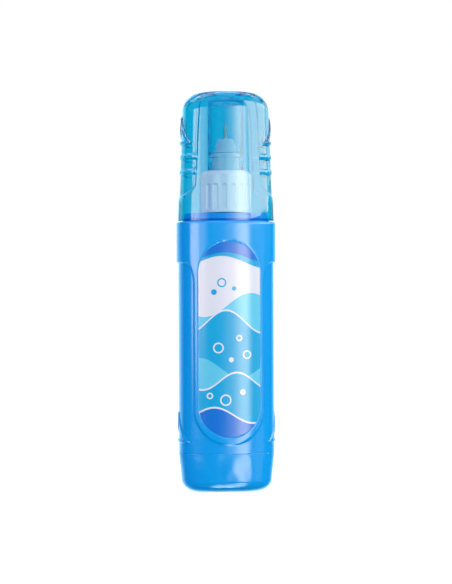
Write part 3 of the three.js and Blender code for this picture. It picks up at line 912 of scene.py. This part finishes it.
@dataclass
class Label:
    """Printed film on a broad side, with round ends."""

    bottle: Bottle
    side: Side
    half: float = 8.6
    low: float = 15.7
    high: float = 70.0
    sink: float = 0.02
    film: float = 0.13
    strips: int = 60

    def build(self) -> None:
        """Makes the film: a rounded oblong, cut into strips, laid onto the tongue and thickened."""
        select_none()
        side = self.side.name.lower()
        middle = (self.low + self.high) / 2 * MM
        bpy.ops.mesh.primitive_plane_add(
            size=2 * self.half * MM,
            location=(0, self.side.value * 0.02, middle),
            rotation=(-self.side.value * math.pi / 2, 0, 0),
        )
        piece = bpy.context.object
        piece.name = piece.data.name = f"{side}_label_film"
        bpy.ops.object.transform_apply(location=True, rotation=True, scale=True)
        bpy.ops.object.mode_set(mode="EDIT")
        bpy.ops.mesh.select_all(action="SELECT")
        tall = (self.high - self.low) / (2 * self.half)
        bpy.ops.transform.resize(value=(1, 1, tall), center_override=(0, 0, middle))
        bpy.ops.mesh.bevel(offset=self.half * MM, segments=48, profile=0.5, affect="VERTICES")
        bpy.ops.mesh.select_all(action="SELECT")
        bpy.ops.mesh.remove_doubles(threshold=1e-6)
        for i in range(1, self.strips):
            x = self.half * (2 * i / self.strips - 1) * MM
            bpy.ops.mesh.select_all(action="SELECT")
            bpy.ops.mesh.bisect(plane_co=(x, 0, 0), plane_no=(1, 0, 0), threshold=NEAR)
        bpy.ops.object.mode_set(mode="OBJECT")
        form = self.form()
        lay = piece.modifiers.new("lay", "SHRINKWRAP")
        lay.target = form
        lay.wrap_method = "PROJECT"
        lay.use_project_x = False
        lay.use_project_y = True
        lay.use_project_z = False
        lay.use_negative_direction = lay.use_positive_direction = True
        select_none()
        piece.select_set(True)
        bpy.context.view_layer.objects.active = piece
        bpy.ops.object.modifier_apply(modifier="lay")
        bpy.data.objects.remove(form)
        thick = piece.modifiers.new("thick", "SOLIDIFY")
        thick.thickness = self.film * MM
        thick.offset = -1
        bpy.ops.object.modifier_apply(modifier="thick")
        bpy.ops.object.shade_smooth_by_angle(angle=math.radians(40))
        finish = PrintedFilm(name=f"printed label film {side}", facing=self.side)
        seat_piece(piece, "bottle_unit", [f"{side}_label"], finish)

    def form(self) -> bpy.types.Object:
        """Makes the tongue's surface as a plain tube, which the film is laid onto.

        Returns:
            The tube, to be removed once the film lies on it.
        """
        a = self.bottle.body_a + self.bottle.recess - self.sink
        b = self.bottle.body_b + self.bottle.recess - self.sink
        wall = Wall("label_form", Corner(self.low - 2, a, b), Outline.OBLONG, self.bottle.points)
        wall.follow(Corner(self.high + 2, a, b))
        bpy.ops.object.mode_set(mode="OBJECT")
        return wall.piece


@dataclass
class Cap:
    """Clear pull-off cap: side pockets with ribs and triangle outlines, dished top, sealing tube and post."""

    points: int = 480
    mouth_z: float = 76.1
    mouth_lip: float = 0.18  # how far the mouth's edge reaches below that height
    mouth_a: float = 13.52
    mouth_b: float = 8.814
    draft: float = 0.0367
    side_wall: float = 1.2
    face_wall: float = 0.9
    corner_z: float = 106.8
    top_z: float = 111.98
    top_half: float = 6.4
    inner_rise: float = 3.85  # the dome's hollow: its height, and its half sizes at the top
    inner_a: float = 6.3
    inner_b: float = 6.2
    root_z: float = 109.95  # where that hollow turns down into the sealing tube
    root_edge: float = 109.7
    root_radius: float = 5.4
    ceiling_z: float = 109.3
    pocket_depth: float = 0.3
    pocket_half: float = 7.144
    pocket_draft: float = 0.018
    pocket_foot: float = 6.2
    pocket_rise: float = 3.8
    rib_height: float = 1.2
    rib_levels: tuple[float, ...] = (12.9, 17.1)
    arrow_foot: float = 21.2
    arrow_height: float = 7.8
    arrow_half: float = 5.65
    arrow_rim: float = 1.0
    arrow_proud: float = 0.45
    dish_radius: float = 6.0
    dish_floor: float = 3.6
    dish_depth: float = 1.8
    tube_bore: float = 4.2
    tube_radius: float = 5.05
    tube_foot: float = 90.4
    snap_z: float = 93.7
    snap_height: float = 1.4
    snap_depth: float = 0.2
    post_radius: float = 0.55
    post_root: float = 1.3
    post_root_height: float = 0.8
    post_foot: float = 103.6
    edge: float = 0.15  # rounding of the mouth and of the dish's rim
    step: float = 0.24
    fine: float = 0.27

    def pocket(self, y: Field, z: Field) -> Field:
        """Share of the side pocket's depth, with the ribs left at full height.

        Args:
            y: Place across the narrow side, in millimetres.
            z: Height.

        Returns:
            Weights, 1 on the pocket's floor.
        """
        up = z - self.mouth_z
        half = self.pocket_half - self.pocket_draft * up
        arch = self.pocket_foot + self.pocket_rise
        u, v = y / half, np.minimum(up - arch, 0) / self.pocket_rise
        reach = np.maximum(np.hypot(u, v), NEAR)
        slope = np.maximum(np.hypot(u / half, v / self.pocket_rise), NEAR)
        inside = np.where(up < arch, (1 - reach) * reach / slope, half - np.abs(y))
        share = ramp(inside, self.step)
        for level in self.rib_levels:
            share = share * (1 - ramp(np.minimum(up - level, level + self.rib_height - up), self.step))
        return share

    def arrow(self, y: Field, z: Field) -> Field:
        """Share of the raised triangle outline."""
        foot = self.mouth_z + self.arrow_foot
        return triangle_rim(y, z, self.arrow_half, foot, self.arrow_height, self.arrow_rim)

    def half_sizes(self, z: float, side: float = 0.0, face: float = 0.0) -> Corner:
        """The cap's outline at a height.

        Args:
            z: The height in millimetres.
            side: How far it is drawn in at the narrow sides.
            face: How far it is drawn in at the broad ones.

        Returns:
            The corner there.
        """
        lean = self.draft * (z - self.mouth_z)
        return Corner(z, self.mouth_a - side - lean, self.mouth_b - face - lean)

    def build(self) -> None:
        """Makes the cap as one closed skin, from the dish's middle round to the end of the post."""
        start = self.half_sizes(self.mouth_z + self.edge)
        relief_z = self.mouth_z + self.pocket_foot - 1
        wall = Wall("clear_cap", start, Outline.OBLONG, self.points)
        wall.follow(self.half_sizes(relief_z), self.half_sizes(self.corner_z))
        wall.rows(start.z, relief_z, 4 * self.fine)
        wall.rows(relief_z, self.corner_z, self.fine)
        wall.press("pocket", -self.pocket_depth, lambda x, y, z: self.pocket(y, z))
        wall.press("arrow", self.arrow_proud, lambda x, y, z: self.arrow(y, z))
        wall.ring(self.corner_z)
        rise = self.top_z - self.corner_z
        wall.follow(
            *arc_corners(wall.at, rise, self.top_half, self.top_half, 16),
            turn(self.top_z, self.dish_radius + 0.2, 0.0, True),
            turn(self.top_z, self.dish_radius, self.edge),
            turn(self.top_z - self.dish_depth, self.dish_floor, 0.5),
            turn(self.top_z - self.dish_depth, 0.6),
        )
        wall.close_point()
        wall.ring(start.z)
        inside = self.half_sizes(self.corner_z, self.side_wall, self.face_wall)
        mouth = self.mouth_z - self.mouth_lip
        snap, top, groove = self.snap_z, self.snap_z + self.snap_height, self.tube_bore + self.snap_depth
        wall.follow(
            Corner(mouth, self.mouth_a, self.mouth_b, 0.1),
            Corner(mouth, self.mouth_a - self.side_wall, self.mouth_b - self.face_wall, self.edge),
            inside,
            *arc_corners(inside, self.inner_rise, self.inner_a, self.inner_b, 12),
            turn(self.root_z, self.root_radius, 0.0, True),
            turn(self.root_edge, self.tube_radius, 0.25),
            turn(self.tube_foot, self.tube_radius, 0.12),
            turn(self.tube_foot, self.tube_bore, 0.12),
            turn(snap, self.tube_bore, 0.08),
            turn(snap + self.snap_depth, groove, 0.08),
            turn(top - self.snap_depth, groove, 0.08),
            turn(top, self.tube_bore, 0.08),
            turn(self.ceiling_z, self.tube_bore, 0.3),
            turn(self.ceiling_z, self.post_root, 0.3),
            turn(self.ceiling_z - self.post_root_height, self.post_radius, 0.3),
            turn(self.post_foot, self.post_radius, 0.15),
            turn(self.post_foot, 0.1),
        )
        wall.close_point()
        wall.finish("cap_unit", "clear_plastic", ["outer_cap"], CLEAR)


@dataclass
class Applicator:
    """What writes: fluted collar, gasket, nozzle, metal tip and needle."""

    collar_foot: float = 78.3
    collar_top: float = 90.1
    collar_radius: float = 7.15
    collar_round: float = 1.6
    collar_edge: float = 0.15
    collar_points: int = 360  # a whole number for each flute
    grip_radius: float = 5.6
    grip_top: float = 82.9
    groove_radius: float = 5.9
    groove_low: float = 83.2
    play: float = 0.1  # between the collar and the nozzle
    flute_count: int = 18
    flute_depth: float = 0.3
    flute_half: float = 0.7
    flute_low: float = 79.2
    flute_high: float = 86.2
    flute_slope: float = 0.3
    gasket_low: float = 87.2
    gasket_high: float = 87.9
    gasket_bore: float = 4.2
    ring_radius: float = 5.5  # of the gasket and of the nozzle's flange
    flange_z: float = 88.0
    flange_height: float = 0.9
    nozzle_radius: float = 3.9
    bead_z: float = 93.7
    bead_height: float = 1.4
    bead: float = 0.2
    cone_z: float = 95.5
    cone_foot: float = 3.3
    cone_top: float = 2.4
    nozzle_top: float = 99.2
    seat_bore: float = 2.6
    seat_z: float = 91.8
    chamber: float = 1.5
    tip_socket: float = 1.3
    tip_bore: float = 0.45
    tip_radius: float = 0.6
    tip_body: float = 1.2
    tip_foot: float = 96.2
    tip_top: float = 102.8
    tip_step: float = 0.5  # height over which it narrows
    needle_top: float = 103.4
    needle_shaft: float = 0.3
    needle_tail: float = 0.5
    tail_z: float = 89.7
    stop_z: float = 95.6
    stop_height: float = 0.5
    stop_radius: float = 1.15

    def flute(self, x: Field, y: Field, z: Field) -> Field:
        """Share of the flutes' depth: upright grooves with round tops and square feet.

        Args:
            x: Place along the width, in millimetres.
            y: Place along the depth.
            z: Height.

        Returns:
            Weights from 0 to 1.
        """
        pitch = math.tau / self.flute_count
        angle = (np.arctan2(y, x) + pitch / 2) % pitch - pitch / 2
        across = np.abs(angle) * self.collar_radius
        arch = self.flute_high - self.flute_half
        above = np.maximum(z - arch, 0)
        inside = np.minimum(self.flute_half - np.hypot(across, above), z - self.flute_low)
        return ramp(inside, self.flute_slope)

    def build_collar(self) -> None:
        """Makes the fluted collar that snaps over the neck."""
        foot = self.collar_foot + self.collar_edge
        shoulder = self.collar_top - self.collar_round
        wall = Wall("fluted_collar", turn(foot, self.collar_radius), Outline.ROUND, self.collar_points)
        wall.follow(turn(shoulder, self.collar_radius))
        wall.rows(foot, shoulder, 0.2)
        wall.press("flute", -self.flute_depth, self.flute)
        wall.ring(shoulder)
        ceiling = self.flange_z + self.flange_height + self.play
        hole = self.nozzle_radius + self.play
        inner = wall.at.a - self.collar_round
        wall.follow(
            *arc_corners(wall.at, self.collar_round, inner, inner, 8),
            turn(self.collar_top, hole, 0.15),
            turn(ceiling, hole, 0.1),
            turn(ceiling, self.groove_radius, 0.15),
        )
        wall.ring(foot)
        wall.follow(
            turn(self.collar_foot, self.collar_radius, 0.14),
            turn(self.collar_foot, self.grip_radius, 0.2),
            turn(self.grip_top, self.grip_radius, 0.1),
            turn(self.groove_low, self.groove_radius, 0.1),
        )
        wall.close_onto(ceiling)
        wall.finish("bottle_unit", "white_plastic", ["applicator_collar"], WHITE)

    def build_gasket(self) -> None:
        """Makes the seal ring between the neck and the nozzle's flange."""
        low, high, middle = self.gasket_low, self.gasket_high, (self.gasket_bore + self.ring_radius) / 2
        wall = Wall("neck_seal_ring", turn(low, middle), Outline.ROUND, 96)
        wall.follow(
            turn(low, self.ring_radius, 0.1),
            turn(high, self.ring_radius, 0.1),
            turn(high, self.gasket_bore, 0.1),
            turn(low, self.gasket_bore, 0.1),
            turn(low, middle - MEET),
        )
        wall.close_onto(low)
        wall.finish("bottle_unit", "seal_foam", ["neck_gasket"], FOAM)

    def build_nozzle(self) -> None:
        """Makes the nozzle: flange, cylinder with its snap bead, and cone."""
        flange_top = self.flange_z + self.flange_height
        bead_low, bead_high = self.bead_z, self.bead_z + self.bead_height
        radius, bead = self.nozzle_radius, self.nozzle_radius + self.bead
        wall = Wall("white_nozzle", turn(self.flange_z, 5.0), Outline.ROUND, 128)
        wall.follow(
            turn(self.flange_z, self.ring_radius, 0.1),
            turn(flange_top, self.ring_radius, 0.1),
            turn(flange_top, radius, 0.15),
            turn(bead_low, radius, 0.1),
            turn(bead_low + self.bead, bead, 0.1),
            turn(bead_high - self.bead, bead, 0.1),
            turn(bead_high, radius, 0.1),
            turn(self.cone_z - 0.3, radius, 0.2),
            turn(self.cone_z, self.cone_foot, 0.2),
            turn(self.nozzle_top, self.cone_top, 0.45),
            turn(self.nozzle_top, self.tip_socket, 0.08),
            turn(self.tip_foot, self.tip_socket),
            turn(self.tip_foot - 0.1, self.chamber),
            turn(self.seat_z, self.chamber),
            turn(self.seat_z, self.seat_bore),
            turn(self.flange_z, self.seat_bore, 0.15),
            turn(self.flange_z, 5.0 - MEET),
        )
        wall.close_onto(self.flange_z)
        wall.finish("bottle_unit", "white_plastic", ["nozzle"], NATURAL, 35)

    def build_tip(self) -> None:
        """Makes the metal tip, a stepped tube."""
        wall = Wall("steel_tip", turn(self.tip_foot, 0.8), Outline.ROUND, 64)
        wall.follow(
            turn(self.tip_foot, self.tip_body, 0.08),
            turn(self.nozzle_top, self.tip_body, 0.1),
            turn(self.nozzle_top + self.tip_step, self.tip_radius, 0.12),
            turn(self.tip_top, self.tip_radius, 0.08),
            turn(self.tip_top, self.tip_bore, 0.04),
            turn(self.tip_foot, self.tip_bore, 0.08),
            turn(self.tip_foot, 0.8 - MEET),
        )
        wall.close_onto(self.tip_foot)
        wall.finish("bottle_unit", "steel", ["metal_tip"], STEEL)

    def build_needle(self) -> None:
        """Makes the needle: a thin shaft with a round end, a stop for the spring, and a tail."""
        shaft, tail, stop_top = self.needle_shaft, self.needle_tail, self.stop_z + self.stop_height
        neck = turn(self.needle_top - shaft, shaft)
        pin = Wall("steel_needle", turn(self.tail_z, tail - 0.1), Outline.ROUND, 48)
        pin.follow(
            turn(self.tail_z + 0.1, tail),
            turn(self.stop_z, tail, 0.1),
            turn(self.stop_z, self.stop_radius, 0.08),
            turn(stop_top, self.stop_radius, 0.08),
            turn(stop_top, shaft, 0.1),
            neck,
            *arc_corners(neck, shaft, 0.02, 0.02, 6),
        )
        pin.close_point()
        pin.ring(self.tail_z)
        pin.close_point()
        pin.finish("needle_unit", "steel", ["valve_needle"], STEEL)

    def build(self) -> None:
        """Makes all of it, and dresses the spring and its seat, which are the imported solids' own meshes."""
        self.build_collar()
        self.build_gasket()
        self.build_nozzle()
        self.build_tip()
        self.build_needle()
        STEEL.dress(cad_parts["valve_spring"])
        WHITE.dress(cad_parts["spring_seat"])


@dataclass
class MixingBall:
    """Steel ball that lies on the base plug's floor."""

    radius: float = 2.25
    middle: float = 4.15
    pole: float = 0.02  # radius of the last ring, which is closed with a fan
    steps: int = 16

    def build(self) -> None:
        """Makes the ball from its middle ring, upwards and then downwards."""
        equator = turn(self.middle, self.radius)
        wall = Wall("steel_mixing_ball", equator, Outline.ROUND, 64)
        wall.follow(*arc_corners(equator, self.radius, self.pole, self.pole, self.steps))
        wall.close_point()
        wall.ring(self.middle)
        wall.follow(*arc_corners(equator, -self.radius, self.pole, self.pole, self.steps))
        wall.close_point()
        wall.finish("ball_unit", "steel", ["mixing_ball"], STEEL)


@dataclass
class Studio:
    """Pale floor, soft strip lights, a white surround and the camera at the photograph's view."""

    frame_width: float = 452.0
    frame_height: float = 584.0
    pixel_mm: float = 0.2818
    eye_z: float = 56.0
    distance: float = 570.0
    azimuth: float = -6.5
    roll: float = -0.22
    axis_pixel: float = 226.0
    floor_half: float = 3000.0
    floor_grey: float = 0.25
    floor_seen: float = 0.92  # how white the floor is to the eye
    floor_glow: float = 0.4  # and how much of that falls on the bottle
    ambient: float = 0.85
    ambient_tint: Shade = (0.74, 0.7, 1.0)
    rim_tint: Shade = (0.5, 0.95, 1.2)  # the cool light that edges catch from behind
    through_tint: Shade = (0.004, 0.57, 0.8)  # the surround as the clear cap shows it
    panel_distance: float = 600.0
    sensor: float = 24.0
    bounces: int = 24  # light passes up to eight clear walls in the cap

    def build(self) -> None:
        """Makes the floor, the lights, the surround and the camera."""
        self.build_floor()
        self.build_world()
        self.build_lights()
        self.build_camera()

    def build_floor(self) -> None:
        """Makes a plain pale floor, which reflections don't show, and which the clear cap shows tinted."""
        select_none()
        bpy.ops.mesh.primitive_plane_add(size=2 * self.floor_half * MM)
        floor = bpy.context.object
        floor.name = "pale_floor"
        floor.visible_glossy = False
        material = bpy.data.materials.new("pale floor paint")
        material.use_nodes = True
        tree = material.node_tree
        path = add(tree, "LightPath").outputs
        through = add(tree, "Math", {"operation": "GREATER_THAN"}, i0=path["Transmission Depth"], i1=0.5)
        tint = add(tree, "Mix", COLOURS, i0=through.outputs[0], i6=(1, 1, 1, 1), i7=(*self.through_tint, 1))
        glow = add(
            tree, "MapRange", Value=path["Is Diffuse Ray"], To_Min=self.floor_seen, To_Max=self.floor_glow
        )
        grey = self.floor_grey
        wire(
            tree, tree.nodes["Principled BSDF"], Base_Color=(grey, grey, grey, 1), Roughness=0.9,
            Specular_IOR_Level=0.0, Emission_Color=tint.outputs[2], Emission_Strength=glow.outputs["Result"],
        )
        floor.data.materials.append(material)

    def build_world(self) -> None:
        """Makes the surround: white to the eye, dim in reflections, brightest behind the bottle, and tinted
        where it is seen through the clear cap.
        """
        world = bpy.data.worlds.new("studio")
        bpy.context.scene.world = world
        world.use_nodes = True
        tree = world.node_tree
        path = add(tree, "LightPath").outputs
        facing = add(tree, "TexCoord").outputs["Generated"]
        axes = add(tree, "SeparateXYZ", Vector=facing).outputs
        spread: dict[object, Socket] = {}  # brightness that changes as a direction turns along an axis
        for name, axis, low, high, dim, bright in (
            ("sides", "X", -0.4, 0.4, 0.5, 1.05),
            ("around", "Y", 0.5, 0.9, "sides", 1.0),
            ("below", "Z", -0.45, -0.1, 2.2, 1.5),
            ("above", "Z", 0.1, 0.45, "below", 1.5),
            ("behind", "Y", 0.3, 0.85, 0.01, "above"),
        ):
            spread[name] = add(
                tree, "MapRange", {"interpolation_type": "SMOOTHSTEP"}, Value=axes[axis], From_Min=low,
                From_Max=high, To_Min=spread.get(dim, dim), To_Max=spread.get(bright, bright),
            ).outputs["Result"]
        inside = add(tree, "Math", {"operation": "GREATER_THAN"}, i0=path["Transmission Depth"], i1=0.5)
        strength, colour = spread["behind"], (*self.rim_tint, 1)
        for share, level, tint in (
            (inside.outputs[0], spread["around"], self.through_tint),
            (path["Is Camera Ray"], 1.0, (1, 1, 1)),
            (path["Is Diffuse Ray"], self.ambient, self.ambient_tint),
        ):
            strength = add(tree, "Mix", i0=share, i2=strength, i3=level).outputs[0]
            colour = add(tree, "Mix", COLOURS, i0=share, i6=colour, i7=(*tint, 1)).outputs[2]
        wire(tree, tree.nodes["Background"], Strength=strength, Color=colour)

    def panel(
        self, name: str, azimuth: float, elevation: float, size: tuple[float, float], radiance: float,
        colour: Shade = (1, 1, 1), fade: tuple[float, float, float, float] | None = None, away: float = 600.0,
    ) -> None:
        """Adds a soft rectangular light that faces the bottle's middle.

        Args:
            name: The light's name.
            azimuth: Where it stands, in degrees round from the front, positive to the right.
            elevation: How high, in degrees.
            size: Its width and height in millimetres.
            radiance: How bright it is, where 1 is white paper in full light.
            colour: Its colour.
            fade: How far it fades in from its left, right, lower and upper edge, as shares of its size. With
                it the light shows in reflections and gives no other light, and without it the reverse holds.
            away: Its distance in millimetres.
        """
        data = bpy.data.lights.new(name, "AREA")
        data.shape = "RECTANGLE"
        data.size, data.size_y = (s * MM for s in size)
        data.energy = radiance * math.pi * data.size * data.size_y
        data.color = colour
        if fade is not None:
            self.fade_edges(data, fade)
        light = bpy.data.objects.new(name, data)
        bpy.context.scene.collection.objects.link(light)
        a, e = math.radians(azimuth), math.radians(elevation)
        out = Vector((math.sin(a) * math.cos(e), -math.cos(a) * math.cos(e), math.sin(e)))
        light.location = Vector((0, 0, self.eye_z * MM)) + out * away * MM
        light.rotation_euler = out.to_track_quat("Z", "Y").to_euler()
        light.visible_camera = False
        light.visible_transmission = False
        light.visible_glossy = fade is not None
        light.visible_diffuse = fade is None

    def fade_edges(self, data: bpy.types.Light, fade: tuple[float, float, float, float]) -> None:
        """Lets a light fade out towards its edges, as a softbox does.

        Args:
            data: The light.
            fade: The share of its size that each fade takes: left, right, lower and upper.
        """
        data.use_nodes = True
        tree = data.node_tree
        spot = add(tree, "NewGeometry").outputs["Parametric"]
        axes = add(tree, "SeparateXYZ", Vector=spot).outputs
        strength: object = 1.0
        for axis, near, far in (("X", fade[0], fade[1]), ("Y", fade[2], fade[3])):
            for low, high in ((0.0, near), (1.0, 1.0 - far)):
                if low == high:
                    continue
                edge = add(
                    tree, "MapRange", {"interpolation_type": "SMOOTHSTEP"},
                    Value=axes[axis], From_Min=low, From_Max=high,
                ).outputs["Result"]
                strength = add(tree, "Math", {"operation": "MULTIPLY"}, i0=strength, i1=edge).outputs[0]
        wire(tree, tree.nodes["Emission"], Strength=strength)

    def build_lights(self) -> None:
        """Tall panels whose reflections run down the bottle, and broad fills that no reflection shows."""
        warm, pale, rose = (1.0, 0.82, 0.55), (1.0, 0.9, 0.65), (1.0, 0.8, 0.5)
        for name, azimuth, width, sides, levels in (
            ("right", 17.5, 280, (0.4, 0.4), ((-200, 120, 10.5, warm), (120, 235, 9.0, pale))),
            ("right_haze", 50.0, 420, (0.3, 0.3), ((-200, 120, 0.9, warm),)),
            ("right_veil", 61.0, 800, (0.05, 0.0), ((146, 420, 8.0, rose),)),
            ("right_edge", 118.0, 540, (0.0, 0.5), ((146, 420, 2.5, rose),)),
            ("left", -48.0, 350, (0.15, 0.2), ((3, 120, 8.5, warm), (120, 225, 7.0, pale))),
            ("left_haze", -25.0, 260, (0.2, 0.5), ((3, 120, 3.0, warm), (120, 225, 3.0, pale))),
        ):
            for low, high, radiance, colour in levels:
                aim = math.degrees(math.atan2((low + high) / 2 - self.eye_z, self.panel_distance))
                fade = (*sides, 0.25 if low == 3 else 0.0, 0.15 if high > 120 else 0.0)
                self.panel(f"{name}_{high}", azimuth, aim, (width, high - low), radiance, colour, fade)
        self.panel("low_panel", 18.5, -62.0, (140, 330), 9.0, fade=(0.3, 0.3, 0, 0), away=400)
        dome = (0.85, 0.95, 0.8)
        for side, top, veil, level in (("left", -60.0, -92.0, 3.4), ("right", 70.0, 92.0, 2.8)):
            self.panel(f"{side}_top_panel", top, 72.0, (700, 500), 4.5, fade=(0.3, 0.3, 0.3, 0.3))
            self.panel(f"{side}_dome_veil", veil, 50.0, (460, 340), level, dome, (0.3, 0.3, 0.3, 0.2))
        self.panel("front_fill", 15.0, 12.0, (500, 500), 2.0, (0.85, 1.0, 0.7))
        self.panel("right_fill", 80.0, 5.0, (400, 500), 1.7, (0.7, 1.0, 0.75))

    def build_camera(self) -> None:
        """The camera, level with the bottle's middle and a little to its left."""
        data = bpy.data.cameras.new("camera")
        data.sensor_fit = "VERTICAL"
        data.sensor_height = self.sensor
        half_view = self.frame_height * self.pixel_mm / 2
        data.lens = data.sensor_height * self.distance / (2 * half_view)
        data.clip_start, data.clip_end = 0.01, 20.0
        camera = bpy.data.objects.new("camera", data)
        bpy.context.scene.collection.objects.link(camera)
        a = math.radians(self.azimuth)
        right = Vector((math.cos(a), math.sin(a), 0))
        back = Vector((math.sin(a), -math.cos(a), 0))
        aside = (self.frame_width / 2 - self.axis_pixel) * self.pixel_mm
        spot = Vector((0, 0, self.eye_z)) + right * aside
        camera.location = (spot + back * self.distance) * MM
        turned = back.to_track_quat("Z", "Y").to_matrix() @ Matrix.Rotation(math.radians(self.roll), 3, "Z")
        camera.rotation_euler = turned.to_euler()
        scene = bpy.context.scene
        scene.camera = camera
        for kind in ("glossy", "transmission", "max"):
            setattr(scene.cycles, f"{kind}_bounces", self.bounces)
        scene.view_settings.view_transform = "Standard"


def main() -> None:
    """Builds the pieces in order, then the studio."""
    logging.basicConfig(level=logging.INFO, format="%(message)s")
    bottle = Bottle()
    labels = [Label(bottle, side) for side in Side]
    for part in (bottle, BasePlug(bottle), *labels, Applicator(), MixingBall(), Cap(), Studio()):
        part.build()
        LOG.info("built %s", type(part).__name__)


if __name__ == "__main__":
    main()
